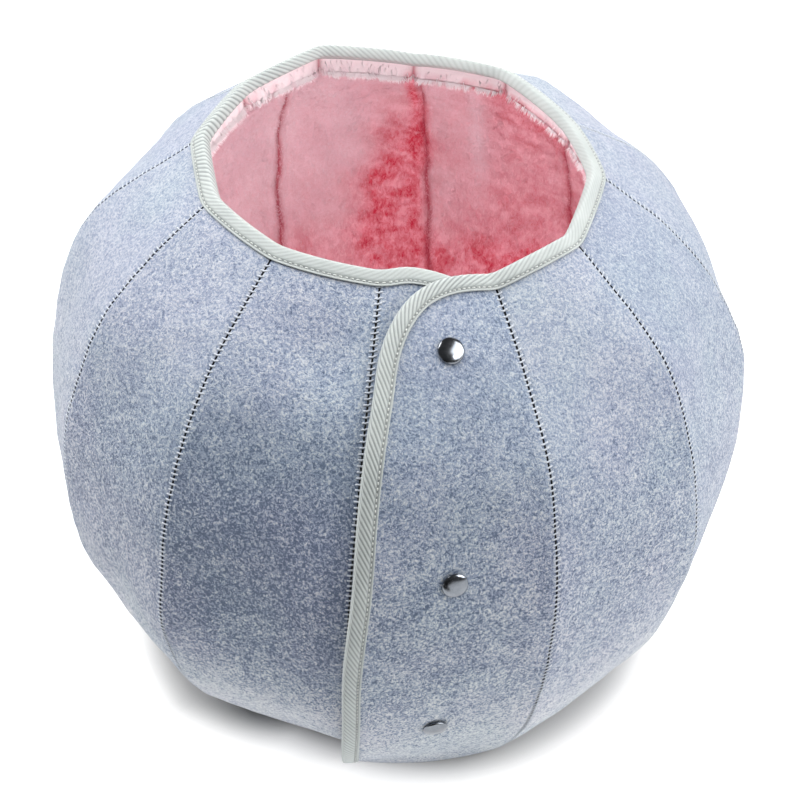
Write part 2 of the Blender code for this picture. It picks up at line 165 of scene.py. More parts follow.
STITCH_WIDE = 0.56 * MM  # half a rung's width along the seam
STITCH_TALL = 0.36 * MM
STITCH_TOP = 10.2 * MM  # below the mouth, where the tape begins to cover the seams
# Share of HEIGHT at which each seam's rungs have almost risen out of the felt
STITCH_SHOWS = (0.28, 0.20, 0.50, 0.62, 0.66, 0.70, 0.72, 0.74, 0.76, 0.80, 0.66, 0.36)
# Along a rung, in shares of its reach: its height in mm and its share of full thickness
Station = namedtuple("Station", "at lift thick")
RUNG = (
    Station(-1.0, -0.60, 0.6),
    Station(-0.82, -0.12, 0.95),
    Station(-0.40, -0.05, 1.0),
    Station(0.0, -0.22, 1.0),
    Station(0.40, -0.05, 1.0),
    Station(0.82, -0.12, 0.95),
    Station(1.0, -0.60, 0.6),
)
RIB_PERIOD = 4.3 * MM  # along the tape
RIB_STEPS = 6  # rows of points in a rib
RIB_SLANT = math.radians(29)
RIB_HEIGHT = 0.45 * MM
PLAIN_FOOT = (78 * MM, 104 * MM)  # along the tape, where the ribs fade in on the flap's edge
Wear = namedtuple("Wear", "ribs lean")  # of the tape on each gore, from the flap round
TAPE_WEAR = (
    Wear(1.0, 1.0),
    Wear(0.5, 1.0),
    Wear(0.2, 1.0),
    Wear(0.2, 1.0),
    Wear(0.2, 0.3),
    Wear(0.3, -0.5),
    Wear(0.5, -0.8),
    Wear(1.0, -0.8),
    Wear(1.0, -0.3),
    Wear(1.0, 0.4),
    Wear(0.45, 0.9),
    Wear(0.3, 1.0),
    Wear(0.3, 1.0),
)
# Painted light on the felt of each gore: its tone, darkened with painted shade on the front gores; the
# contrast of its flecks, raised there as relief shows under grazing light; and how much paler painted
# light draws it at the rim and the foot
PaintedLight = namedtuple("PaintedLight", "tone contrast rim foot")
PAINTED_LIGHT_BY_GORE = {
    "09": PaintedLight(0.003, 0.95, 0.006, 0.036),
    "10": PaintedLight(-0.030, 1.2, 0.004, 0.034),
    "11": PaintedLight(-0.063, 1.35, 0.0, 0.072),
    "under": PaintedLight(-0.030, 1.2, -0.010, 0.040),
    "flap": PaintedLight(-0.018, 1.2, -0.020, 0.046),
    "01": PaintedLight(-0.010, 1.05, 0.008, 0.052),
    "02": PaintedLight(-0.010, 0.9, -0.010, 0.030),
    "03": PaintedLight(-0.008, 0.9, -0.006, 0.030),
}
PLAIN_PAINTED_LIGHT = PaintedLight(-0.002, 0.9, 0.0, 0.030)
SEAM_PAINTED_HIGHLIGHT = 0.080  # of the painted highlight along the seams near the foot
TAPE_EDGE = -8.8  # of the tape's legs, in mm beyond the bound edge
TAPE_STITCH_OFF = -6.9 * MM  # of its stitch line
TAPE_STITCH_GROOVE = 0.75 * MM  # half that line's width
TAPE_STITCH_PITCH = 3.1 * MM
# Along one of its stitches, in mm, with the stitch's height in mm
DASH = (
    Station(-0.95, -0.5, 0.6),
    Station(-0.75, 0.0, 0.9),
    Station(-0.3, 0.15, 1.0),
    Station(0.3, 0.15, 1.0),
    Station(0.75, 0.0, 0.9),
    Station(0.95, -0.5, 0.6),
)
DASH_THICK = 0.42 * MM
FITTED = (0.12, 0.5, 1.0)  # shares of the tape's width at which it is fitted to the felt
FIT_FROM = 3 * MM  # above the felt, where the fitting rays start
PILE_PER_PANEL = 20000
LEDGE = 6.6 * MM  # how far the pile stands out below the tape
CREASE_WIDE = 2.9 * MM  # of a lining seam's dark line

# ---- colours
FELT_TONES = (  # place on the ramp, colour
    (0.270, (0.095, 0.126, 0.197)),
    (0.350, (0.222, 0.271, 0.372)),
    (0.410, (0.365, 0.404, 0.482)),
    (0.500, (0.563, 0.586, 0.606)),
)
FELT_TINTS = (1.018, 0.990, 1.008), (0.984, 1.007, 0.994)
GROOVE_PAINTED_SHADE = 0.06  # painted shade on the felt's cut edges, the walls of the seam grooves, which shows as the dark between the stitches
PLUSH_PINKS = (0.712, 0.560, 0.630), (0.785, 0.650, 0.716)
# painted shade and reflected light deep in the cavity, drawn as deeper reds
PLUSH_SHADED_REDS = (0.565, 0.027, 0.062), (0.860, 0.400, 0.480)
PLUSH_ROOTS = (0.50, 0.14, 0.17)
# painted light: the plush ledge below the tape, drawn pale where the light from above falls on it
PLUSH_PAINTED_RIM_LIGHT = (0.860, 0.752, 0.797)
PLUSH_CREASE = (0.36, 0.040, 0.070)
TAPE_VALLEY_SHADE_AND_CREST = (0.050, 0.058, 0.064), (0.475, 0.515, 0.520)  # painted shade in a valley, and a crest's own colour
TAPE_YARN = (0.33, 0.37, 0.37)
TAPE_SOIL = (0.60, 0.64, 0.63)
SEAM_THREADS = (0.38, 0.42, 0.49), (0.545, 0.585, 0.645)
TAPE_THREADS = (0.40, 0.43, 0.43), (0.66, 0.69, 0.68)
SNAP_METALS = (0.165, 0.180, 0.205), (0.215, 0.230, 0.255)
FLOOR_PAPERS = (0.53, 0.53, 0.53), (0.55, 0.55, 0.55)
CARD_CLOTHS = (0.010, 0.010, 0.010), (0.016, 0.016, 0.016)

# ---- the stage
FLOOR_DROP = 0.2 * MM  # below the cave's foot
# The floor glows, and its glow fades under the cave into a painted contact shadow
FLOOR_GLOW = 0.82
FLOOR_FADE = (-20 * MM, 17 * MM)  # its painted light rises from the painted contact shadow to full over this stretch
FLOOR_PAINTED_SHADOW = (  # azimuth, and how far out in mm the floor's painted light is half faded into the painted shadow
    (150, 165),
    (205, 188),
    (223, 196),
    (235, 184),
    (247, 169),
    (259, 172),
    (283, 188),
    (295, 191),
    (325, 191),
    (350, 184),
)
# The black card: in front, over the floor on the left, and upright behind that
CARD_LEFT, CARD_RIGHT, CARD_TALL_RIGHT = -1.3, 0.12, 0.5
CARD_NEAR, CARD_FAR, CARD_TALL = -0.6, -2.0, 0.9
LIGHT_COLOUR = (1.0, 0.985, 0.955)
Light = namedtuple("Light", "name place aim size power")
LIGHTS = (
    Light("top_light", (0.0, 0.15, 2.1), (0, 0, 0.2), (3.0, 2.4), 66),
    Light("glint_light", (1.6, -0.35, 1.35), (0, 0, 0.3), (1.6, 1.6), 52),
    Light("right_light", (2.0, 0.2, 1.0), (0, 0, 0.2), (1.2, 1.4), 25),
    Light("left_light", (-1.5, 0.5, 1.8), (0, 0, 0.2), (1.2, 1.4), 42),
    Light("back_light", (0.9, 2.1, 1.5), (0, 0, 0.2), (1.4, 1.0), 9),
    Light("corner_light", (1.15, -1.05, 1.15), (0, 0, 0.2), (0.30, 0.55), 6.0),
    Light("cave_light", (0.0, -0.135, 0.20), (0, 0.2, 0.215), (0.15, 0.10), 0.62),
)
NOT_IN_REFLECTIONS = "top_light"
ONLY_IN_REFLECTIONS = "glint_light"
WORLD_STRENGTH = 0.10

rng = np.random.default_rng(SEED)


# ---- the ball's shape -------------------------------------------------------------------

def smooth_curve(rows):
    """A natural cubic spline through (x, y) rows, as a function of an array."""
    xs, ys = np.array(rows, float).T
    steps = np.diff(xs)
    slopes = np.diff(ys) / steps
    count = len(xs)
    matrix = np.eye(count)
    target = np.zeros(count)
    for i in range(1, count - 1):
        matrix[i, i - 1 : i + 2] = steps[i - 1], 2 * (steps[i - 1] + steps[i]), steps[i]
        target[i] = 6 * (slopes[i] - slopes[i - 1])
    bend = np.linalg.solve(matrix, target)

    def value(x):
        i = np.clip(np.searchsorted(xs, x) - 1, 0, count - 2)
        along, step = x - xs[i], steps[i]
        slope = slopes[i] - step * (2 * bend[i] + bend[i + 1]) / 6
        cubic = (bend[i + 1] - bend[i]) * along / (6 * step)
        return ys[i] + along * (slope + along * (bend[i] / 2 + cubic))

    return value


outline = smooth_curve(OUTLINE)
flap_edge = smooth_curve(FLAP_EDGE)


def smoothstep(low, high, x):
    share = np.clip((x - low) / (high - low), 0.0, 1.0)
    return share * share * (3 - 2 * share)


def bell(x, reach):
    """1 at nought, falling away smoothly over the reach to both sides."""
    return np.exp(-((x / reach) ** 2))


def unit(vectors):
    return vectors / np.linalg.norm(vectors, axis=-1, keepdims=True)


def bezier(points, share):
    rest = 1 - share
    weights = (rest**3, 3 * rest**2 * share, 3 * rest * share**2, share**3)
    return tuple(sum(w * p[i] for w, p in zip(weights, points)) for i in (0, 1))


def swelling(up, place):
    middle, reach = place
    return bell(up - middle, reach)


def lengths_along(points):
    """Each point's distance along a line of points."""
    steps = np.linalg.norm(np.diff(points, axis=0), axis=1)
    return np.concatenate([[0.0], np.cumsum(steps)])


def seam_radius(seam, up):
    swell = (
        seam.shoulder * swelling(up, SHOULDER)
        + seam.flank * swelling(up, FLANK)
        + seam.hem * swelling(up, HEM)
    )
    return RADIUS * outline(up) + swell * MM


def seam_slope(seam, up):
    step = 0.001
    rise = HEIGHT * 2 * step
    run = seam_radius(seam, up + step) - seam_radius(seam, up - step)
    length = np.hypot(run, rise)
    return run / length, rise / length


def seam_point(index, up, inward):
    """Points on a seam's line, moved in from the felt's face; level with the floor at the foot."""
    seam = SEAMS[index % COUNT]
    level = 1 - smoothstep(0.0, LEVEL_UP_TO, up)
    along = up
    for _ in range(4):
        run, rise = seam_slope(seam, along)
        along = up - level * inward * run / HEIGHT
    radius = seam_radius(seam, along) - inward * rise
    height = HEIGHT * along + inward * run
    height = height + level * (HEIGHT * up - height)
    for lump in LUMPS:
        if lump.seam == index % COUNT:
            push = swelling(up, (lump.middle, lump.reach)) * MM
            radius = radius + push * lump.out
            height = height + push * lump.up
    turn = math.radians(seam.azimuth) + TWIST * (1 - up)
    point = np.stack([radius * np.cos(turn), radius * np.sin(turn), height], -1)
    point[..., 2] += up**3 * (point @ MOUTH_TILT)
    return point + AXIS


def stitch_shown(number, up):
    """How far a seam's stitching has risen out of the felt at a height: 0 low down, 1 above."""
    shows = STITCH_SHOWS[number % COUNT]
    return smoothstep(shows - 0.16, shows + 0.06, up)


def meridian():
    """Distances below the mouth over the cloth, and the share of HEIGHT at each."""
    shares = np.linspace(1.0, 0.0, 401)
    points = np.stack([RADIUS * outline(shares), HEIGHT * shares], 1)
    return lengths_along(points), shares


BELOW, SHARE_UP = meridian()


def up_at(below):
    """The share of HEIGHT at a distance below the mouth, measured over the cloth."""
    past = 1.0 - below * (SHARE_UP[1] - 1.0) / BELOW[1]
    return np.where(below < 0, past, np.interp(below, BELOW, SHARE_UP))


class Gore:
    """One gore's place between seam number `seam` and the next one."""

    sewn = (True, True)

    def __init__(self, name, seam, out_left=0.0, out_right=0.0, foot_bow=0.0):
        self.name = name
        self.seam = seam
        self.out_left = out_left
        self.out_right = out_right
        self.foot_bow = foot_bow

    def sides(self, up):
        return np.zeros_like(up), np.ones_like(up)

    def below_rim(self, column):
        return np.zeros_like(column)

    def dip(self, across):
        left = SEAMS[self.seam % COUNT].dip
        right = SEAMS[(self.seam + 1) % COUNT].dip
        return (left + (right - left) * across) * MM

    def bow(self, across, up):
        rim_bow = SEAMS[self.seam % COUNT].bow * MM
        arch = 4 * across * (1 - across)
        at_rim = (rim_bow - CROWN) * smoothstep(0.8, 1.0, up)
        return arch * (CROWN + at_rim + self.foot_bow * swelling(up, HEM))

    def surface(self, across, up, inward=0.0):
        depth = inward - self.bow(across, up)
        left = seam_point(self.seam, up, depth - self.out_left)
        right = seam_point(self.seam + 1, up, depth - self.out_right)
        point = left + (right - left) * across[..., None]
        for bulge in BULGES:
            if bulge.seam == self.seam:
                push = 4 * across * (1 - across) * swelling(up, (bulge.middle, bulge.reach)) * MM
                way = unit((point - AXIS) * [1, 1, 0]) * bulge.out + UP * bulge.up
                point = point + way * push[..., None]
        return point

    def normal(self, across, up):
        step = 0.002
        along = self.surface(across + step, up) - self.surface(across - step, up)
        rise = self.surface(across, up + step) - self.surface(across, up - step)
        return unit(np.cross(along, rise))

    def width(self, up):
        flat = np.zeros_like(up)
        across = seam_point(self.seam + 1, up, flat) - seam_point(self.seam, up, flat)
        return np.linalg.norm(across, axis=-1)

    def up(self, column, row):
        at_top = self.across(column, np.ones_like(column), 0.0)
        return row * up_at(self.below_rim(column) + self.dip(at_top))

    def across(self, column, up, retreat):
        """Shares of the way across; `retreat` draws the sewn sides back from their seams."""
        left, right = self.sides(up)
        width = self.width(up)
        if self.sewn[0]:
            left = left + retreat * self.open_at(0, up) / width
        if self.sewn[1]:
            right = right - retreat * self.open_at(1, up) / width
        return left + (right - left) * column

    def open_at(self, side, up):
        """How far the groove of a seam is open: all the way above, nearly shut at the foot."""
        return GROOVE_SHUT + (1 - GROOVE_SHUT) * stitch_shown(self.seam + side, up)

    def sheet(self, thing, rows, lies_on):
        """Works out this gore's widths at the rows, and does nothing more with the panel."""
        widths = self.width(rows)

    def edge_path(self, steps):
        """(column, row) pairs along the edge that the tape covers."""
        columns = np.linspace(0.0, 1.0, steps)
        return columns, np.ones_like(columns)


class RoundedGore(Gore):
    """A gore with a free side and a rounded corner at the rim."""

    CORNER_STEPS = 41

    def __init__(self, name, seam, out_left, out_right, corner, edge, free_left):
        super().__init__(name, seam, out_left, out_right, FLAP_FOOT_BOW)
        self.edge = edge
        self.free_left = free_left
        self.sewn = (not free_left, free_left)
        shares = np.linspace(0.0, 0.5, self.CORNER_STEPS)
        across, below = bezier(corner, shares)
        self.side_ups = up_at(below * MM)
        self.side_shares = across
        across, below = bezier(corner, shares + 0.5)
        columns = (across - across[0]) / (across[-1] - across[0])
        if free_left:
            self.rim = columns, below * MM
        else:
            self.rim = 1 - columns[::-1], below[::-1] * MM

    def below_rim(self, column):
        return np.interp(column, *self.rim)

    def sides(self, up):
        corner = np.interp(up, self.side_ups, self.side_shares)
        side = np.where(up < self.side_ups[0], self.edge(up), corner)
        if self.free_left:
            return side, np.ones_like(up)
        return np.zeros_like(up), side

    def edge_path(self, steps):
        rows = np.linspace(0.002, 1.0, 4 * steps)[:-1]
        columns = np.linspace(0.0, 1.0, steps)
        if self.free_left:
            return (
                np.concatenate([np.zeros_like(rows), columns]),
                np.concatenate([rows, np.ones_like(columns)]),
            )
        return (
            np.concatenate([columns, np.ones_like(rows)]),
            np.concatenate([np.ones_like(columns), rows[::-1]]),
        )


def flat_edge(up):
    return np.full_like(up, UNDER_EDGE)


GORES = [Gore(f"{seam:02d}", seam) for seam in range(1, COUNT)]
UNDER = RoundedGore("under", COUNT, 0.0, -LAP, UNDER_CORNER, flat_edge, False)
FLAP = RoundedGore("flap", 0, LAP, 0.0, FLAP_CORNER, flap_edge, True)
ALL_GORES = (*GORES, UNDER, FLAP)


class Waves:
    """A smooth bumpy field in space, from a sum of plane waves."""

    WAVES = 26

    def __init__(self, shortest, longest):
        directions = unit(rng.normal(size=(self.WAVES, 3)))
        lengths = np.exp(rng.uniform(math.log(shortest), math.log(longest), self.WAVES))
        self.waves = directions * (2 * math.pi / lengths)[:, None]
        self.phases = rng.uniform(0, 2 * math.pi, self.WAVES)
        self.heights = lengths / lengths.max()
        self.scale = 1 / math.sqrt((self.heights**2).sum() / 2)

    def __call__(self, points):
        return np.sin(points @ self.waves.T + self.phases) @ self.heights * self.scale


felt_waves = Waves(35 * MM, 150 * MM)
felt_ripple = Waves(9 * MM, 26 * MM)
plush_waves = Waves(14 * MM, 60 * MM)
plush_tufts = Waves(4 * MM, 11 * MM)


# ---- meshes -----------------------------------------------------------------------------

def mesh_object(name, points, faces, materials, smooth_angle=40):
    """A piece from its points and its faces: an array of one kind, or a list of any kinds.

    Edges sharper than smooth_angle degrees stay sharp, and 0 smooths them all.
    """
    mesh = bpy.data.meshes.new(name)
    if isinstance(faces, np.ndarray):
        count, sides = faces.shape
        mesh.vertices.add(len(points))
        mesh.vertices.foreach_set("co", np.asarray(points, np.float32).ravel())
        mesh.loops.add(count * sides)
        mesh.loops.foreach_set("vertex_index", faces.astype(np.int32).ravel())
        mesh.polygons.add(count)
        mesh.polygons.foreach_set("loop_start", np.arange(0, count * sides, sides, dtype=np.int32))
        mesh.update(calc_edges=True)
    else:
        mesh.from_pydata(np.asarray(points).tolist(), [], faces)
        mesh.update()
    for material in materials:
        mesh.materials.append(material)
    mesh.shade_smooth()
    if smooth_angle:
        mesh.set_sharp_from_angle(angle=math.radians(smooth_angle))
    thing = bpy.data.objects.new(name, mesh)
    bpy.context.scene.collection.objects.link(thing)
    return thing


def give(thing, name, values):
    """Stores one number for each point of a piece, for its material to read."""
    attribute = thing.data.attributes.new(name, "FLOAT", "POINT")
    attribute.data.foreach_set("value", np.asarray(values, np.float32))


def grid_faces(columns, rows, start=0, flip=False):
    """Quads of a grid of points numbered row by row."""
    i, j = np.meshgrid(np.arange(columns - 1), np.arange(rows - 1))
    corner = (start + j * columns + i).ravel()
    quad = [corner, corner + 1, corner + columns + 1, corner + columns]
    return np.stack(quad[::-1] if flip else quad, 1)


def tube_faces(rings, sides):
    """Quads between rings of points, each ring closed round."""
    j, i = np.meshgrid(np.arange(rings - 1), np.arange(sides), indexing="ij")
    near = j * sides + i
    beside = j * sides + (i + 1) % sides
    return np.stack([near, near + sides, beside + sides, beside], -1).reshape(-1, 4)


def slab_faces(columns, rows):
    """Quads of a closed slab: a front grid, a back grid, and the rim between them.

    The last 2 * (rows - 1) faces are the two sides.
    """
    back = columns * rows
    row = np.arange(columns - 1)
    top = (rows - 1) * columns
    foot = np.stack([row, row + back, row + 1 + back, row + 1], 1)
    head = np.stack([row + top, row + 1 + top, row + 1 + top + back, row + top + back], 1)
    step = np.arange(rows - 1) * columns
    left = np.stack([step, step + columns, step + columns + back, step + back], 1)
    right = np.stack([step, step + back, step + columns + back, step + columns], 1) + columns - 1
    return np.concatenate(
        [
            grid_faces(columns, rows),
            grid_faces(columns, rows, back, flip=True),
            foot,
            head,
            left,
            right,
        ]
    )


def add(thing):
    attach(thing, "root")


def stand_for(thing, node):
    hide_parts(node)
    add(thing)


# ---- materials --------------------------------------------------------------------------

class Finish:
    """A material with one Principled shader, and short ways to add nodes."""

    def __init__(self, name):
        self.material = bpy.data.materials.new(name)
        self.material.use_nodes = True
        self.tree = self.material.node_tree
        self.shader = self.tree.nodes["Principled BSDF"]
        self.place = self.node("ShaderNodeTexCoord").outputs["Object"]

    def node(self, kind, **settings):
        made = self.tree.nodes.new(kind)
        for key, value in settings.items():
            setattr(made, key, value)
        return made

    def put(self, socket, value):
        if isinstance(value, bpy.types.NodeSocket):
            self.tree.links.new(value, socket)
        else:
            socket.default_value = value

    def set(self, **values):
        for key, value in values.items():
            self.put(self.shader.inputs[key.replace("_", " ")], value)

    def noise(self, scale, detail=3.0, roughness=0.6, distortion=0.0, place=None):
        made = self.node("ShaderNodeTexNoise")
        self.put(made.inputs["Vector"], place or self.place)
        self.put(made.inputs["Scale"], scale)
        self.put(made.inputs["Detail"], detail)
        self.put(made.inputs["Roughness"], roughness)
        self.put(made.inputs["Distortion"], distortion)
        return made.outputs["Fac"]

    def strands(self, scale, level, width):
        """Curly threads: the lines along which a soft noise passes one level."""
        off = self.math("ABSOLUTE", self.math("SUBTRACT", self.noise(scale, 1.0, 0.5, 1.2), level))
        return self.spread(off, 0.0, width, 1.0, 0.0)

    def math(self, operation, a, b=0.0, c=0.0):
        made = self.node("ShaderNodeMath", operation=operation)
        for socket, value in zip(made.inputs, (a, b, c)):
            self.put(socket, value)
        return made.outputs[0]

    def spread(self, value, low, high, out_low=0.0, out_high=1.0):
        made = self.node("ShaderNodeMapRange")
        for socket, x in zip(made.inputs, (value, low, high, out_low, out_high)):
            self.put(socket, x)
        return made.outputs[0]

    def mix(self, share, a, b, blend="MIX"):
        made = self.node("ShaderNodeMix", data_type="RGBA", blend_type=blend)
        self.put(made.inputs["Factor"], share)
        self.put(made.inputs["A"], a if isinstance(a, bpy.types.NodeSocket) else (*a, 1.0))
        self.put(made.inputs["B"], b if isinstance(b, bpy.types.NodeSocket) else (*b, 1.0))
        return made.outputs["Result"]

    def attribute(self, name):
        return self.node("ShaderNodeAttribute", attribute_name=name).outputs["Fac"]

    def bump(self, height, distance, strength=1.0):
        made = self.node("ShaderNodeBump")
        self.put(made.inputs["Height"], height)
        self.put(made.inputs["Distance"], distance)
        self.put(made.inputs["Strength"], strength)
        self.put(self.shader.inputs["Normal"], made.outputs["Normal"])


def felt_finish(name, shade=1.0):
    """Heathered needle felt: pale blue-grey fibres over slate ones."""
    felt = Finish(name)
    flecks = felt.noise(640.0, 2.0, 0.6, 0.6)
    clouds = felt.noise(60.0, 3.0, 0.5, 0.6)
    pale = felt.strands(245.0, 0.50, 0.080)
    dark = felt.strands(280.0, 0.47, 0.070)
    mixed = felt.math("MULTIPLY_ADD", flecks, 0.41, felt.math("MULTIPLY", clouds, 0.08))
    mixed = felt.math("MULTIPLY_ADD", pale, 0.075, mixed)
    mixed = felt.math("MULTIPLY_ADD", dark, -0.100, mixed)
    mixed = felt.math("SUBTRACT", mixed, 0.243)
    # Painted light and shade: the tone and contrast attributes draw the front gores darker and more
    # speckled, and the rim, the foot and the seams near the foot paler.
    mixed = felt.math("MULTIPLY_ADD", mixed, felt.attribute("contrast"), 0.384)
    mixed = felt.math("ADD", mixed, felt.attribute("tone"))
    ramp = felt.node("ShaderNodeValToRGB")
    felt.put(ramp.inputs["Fac"], mixed)
    elements = ramp.color_ramp.elements
    while len(elements) < len(FELT_TONES):
        elements.new(0.5)
    for element, (position, colour) in zip(elements, FELT_TONES):
        element.position = position
        # shade darkens the whole ramp, which the grooves' finish uses for painted shade
        element.color = (*(c * shade for c in colour), 1.0)
    patches = felt.spread(felt.noise(14.0, 2.0, 0.5), 0.35, 0.65)
    tint = felt.mix(patches, *FELT_TINTS)
    colour = felt.mix(1.0, ramp.outputs["Color"], tint, "MULTIPLY")
    felt.set(Base_Color=colour, Roughness=0.95)
    felt.set(Sheen_Weight=0.18, Sheen_Roughness=0.5, Sheen_Tint=(1.0, 0.98, 0.93, 1.0))
    felt.set(Specular_IOR_Level=0.12)
    height = felt.math("MULTIPLY_ADD", pale, 0.25, flecks)
    felt.bump(height, 0.8 * MM, 0.5)
    return felt.material


def plush_finish(name, nap=False):
    """Short pile plush: dusty pink, drawn redder with painted shade and reflected light deep in the
    cavity, and paler with painted light at the rim.

    With nap, the shading follows each blade's stored way rather than its own face.
    """
    plush = Finish(name)
    fine = plush.noise(620.0, 3.0, 0.6, 1.0)
    downward = plush.node("ShaderNodeMapping")
    plush.put(downward.inputs["Vector"], plush.place)
    plush.put(downward.inputs["Scale"], (1.0, 1.0, 0.5))
    clumps = plush.noise(430.0, 3.0, 0.66, 0.9, downward.outputs["Vector"])
    brushed = plush.noise(24.0, 2.0, 0.5, 0.8)
    pressed = plush.noise(70.0, 2.0, 0.5, 0.5)
    pressed = plush.math("MULTIPLY_ADD", clumps, 0.45, plush.math("MULTIPLY", pressed, 0.55))
    pink = plush.mix(plush.spread(brushed, 0.35, 0.65), *PLUSH_PINKS)
    red = plush.mix(plush.spread(pressed, 0.38, 0.62), *PLUSH_SHADED_REDS)
    # painted shade and reflected light: deeper red low in the cavity
    colour = plush.mix(plush.attribute("painted_deep_shade"), pink, red)
    colour = plush.mix(plush.spread(fine, 0.35, 0.65, 0.18, 0.0), colour, PLUSH_ROOTS)
    # painted light: pale on the ledge below the tape
    colour = plush.mix(plush.attribute("rim"), colour, PLUSH_PAINTED_RIM_LIGHT)
    colour = plush.mix(plush.attribute("crease"), colour, PLUSH_CREASE)
    plush.set(Base_Color=colour, Roughness=1.0)
    plush.set(Sheen_Weight=0.25, Sheen_Roughness=0.4, Sheen_Tint=(1.0, 0.85, 0.87, 1.0))
    plush.set(Specular_IOR_Level=0.08)
    if nap:
        way = plush.node("ShaderNodeAttribute", attribute_name="nap").outputs["Vector"]
        plush.put(plush.shader.inputs["Normal"], way)
    else:
        plush.bump(plush.math("MULTIPLY_ADD", fine, 0.5, clumps), 1.2 * MM, 0.5)
    return plush.material


def tape_finish():
    """Ribbed twill tape, pale grey-green, with painted shade between its ribs and along its stitch line.
    """
    tape = Finish("tape")
    yarn = tape.noise(900.0, 2.0, 0.5)
    soil = tape.noise(40.0, 3.0, 0.6)
    # painted shade: dark in the rib valleys and along the stitch line
    colour = tape.mix(tape.attribute("rib"), *TAPE_VALLEY_SHADE_AND_CREST)
    colour = tape.mix(tape.spread(yarn, 0.3, 0.7, 0.0, 0.22), colour, TAPE_YARN)
    colour = tape.mix(tape.spread(soil, 0.35, 0.7, 0.0, 0.22), colour, TAPE_SOIL)
    tape.set(Base_Color=colour, Roughness=0.75, Specular_IOR_Level=0.3)
    tape.set(Sheen_Weight=0.08, Sheen_Roughness=0.4)
    tape.bump(yarn, 0.2 * MM, 0.5)
    return tape.material


def thread_finish(name, colours):
    thread = Finish(name)
    twist = thread.noise(1600.0, 2.0, 0.5, 0.5)
    colour = thread.mix(thread.spread(twist, 0.35, 0.65), *colours)
    thread.set(Base_Color=colour, Roughness=0.6, Specular_IOR_Level=0.35)
    thread.bump(twist, 0.15 * MM, 0.5)
    return thread.material


def snap_finish():
    """Dark polished metal with faint rubbing."""
    snap = Finish("snap")
    rubbed = snap.noise(240.0, 4.0, 0.7)
    colour = snap.mix(snap.spread(rubbed, 0.4, 0.7), *SNAP_METALS)
    snap.set(Base_Color=colour, Metallic=1.0)
    snap.set(Roughness=snap.spread(rubbed, 0.3, 0.75, 0.15, 0.26))
    return snap.material


def floor_finish():
    floor = Finish("floor")
    paper = floor.noise(3.0, 2.0, 0.5)
    floor.set(Base_Color=floor.mix(paper, *FLOOR_PAPERS), Roughness=0.9)
    # painted light: the floor glows, fading into a painted contact shadow under the cave
    floor.set(Emission_Color=(1.0, 1.0, 1.0, 1.0), Emission_Strength=floor.attribute("glow"))
    return floor.material


def card_finish():
    card = Finish("card")
    cloth = card.noise(60.0, 2.0, 0.5)
    card.set(Base_Color=card.mix(cloth, *CARD_CLOTHS), Roughness=0.9)
    return card.material


FELT_FINISH = felt_finish("felt")
# felt darkened as painted shade for the walls of the seam grooves
GROOVE_SHADE_FINISH = felt_finish("felt_groove_shade", GROOVE_PAINTED_SHADE)
PLUSH_FINISH = plush_finish("plush")
PILE_FINISH = plush_finish("pile", nap=True)
TAPE_FINISH = tape_finish()
SEAM_THREAD = thread_finish("seam_thread", SEAM_THREADS)
TAPE_THREAD = thread_finish("tape_thread", TAPE_THREADS)
SNAP_FINISH = snap_finish()


# ---- felt gores -------------------------------------------------------------------------

def eased_columns(count):
    """Shares across a panel, closer together at its sides."""
    even = np.linspace(0.0, 1.0, count)
    return even - 0.13 * np.sin(2 * math.pi * even)


FELT_COLUMNS = np.concatenate([[0.0, 0.0028], eased_columns(34)[1:-1], [0.9972, 1.0]])
FELT_ROWS = np.linspace(0.0, 1.0, 100)


def sewn_distance(gore, across, up):
    """Distance from the nearer sewn seam line, in metres."""
    width = gore.width(up)
    left = across * width if gore.sewn[0] else np.full_like(up, 1.0)
    right = (1 - across) * width if gore.sewn[1] else np.full_like(up, 1.0)
    return np.minimum(left, right)


def felt_relief(points, up):
    """How far the felt stands out from its plain shape; none at the foot and the rim."""
    free = smoothstep(0.0, 0.08, up) * (1 - smoothstep(0.90, 0.985, up))
    return (felt_waves(points) * RELIEF + felt_ripple(points) * RIPPLE) * free


def felt_face(gore, column, row, inward, retreat, drop):
    """Points of one face of a gore's felt."""
    up = gore.up(column, row)
    across = gore.across(column, up, retreat)
    plain = gore.surface(across, up)
    away = sewn_distance(gore, across, up) - retreat
    inward = inward + drop * bell(away, EDGE_REACH)
    return gore.surface(across, up, inward - felt_relief(plain, up))


def felt_painted_light(gore, across, up):
    """How much lighter the felt is drawn than its middle tone: painted shade by gore, painted light at the
    rim and the foot, and a painted highlight along the seams near the foot.
    """
    shade = PAINTED_LIGHT_BY_GORE.get(gore.name, PLAIN_PAINTED_LIGHT)
    rim = smoothstep(0.66, 0.92, up)
    tone = shade.tone * (1 - 0.9 * rim - 0.9 * smoothstep(0.52, 0.22, up)) + shade.rim * rim
    # painted highlight along the seams near the foot
    edge = bell(sewn_distance(gore, across, up), SEAM_HIGHLIGHT_REACH) * smoothstep(0.32, 0.14, up)
    return tone + shade.foot * smoothstep(0.42, 0.16, up) + SEAM_PAINTED_HIGHLIGHT * edge


def felt_skin():
    """Points and faces of the outer faces of the whole felt, for fitting the tape to it."""
    points, faces = [], []
    column, row = (a.ravel() for a in np.meshgrid(FELT_COLUMNS, FELT_ROWS))
    for count, gore in enumerate(ALL_GORES):
        points.append(felt_face(gore, column, row, 0.0, GROOVE, EDGE_DROP))
        faces.append(grid_faces(len(FELT_COLUMNS), len(FELT_ROWS), count * len(column)))
    return np.concatenate(points).tolist(), np.concatenate(faces).tolist()


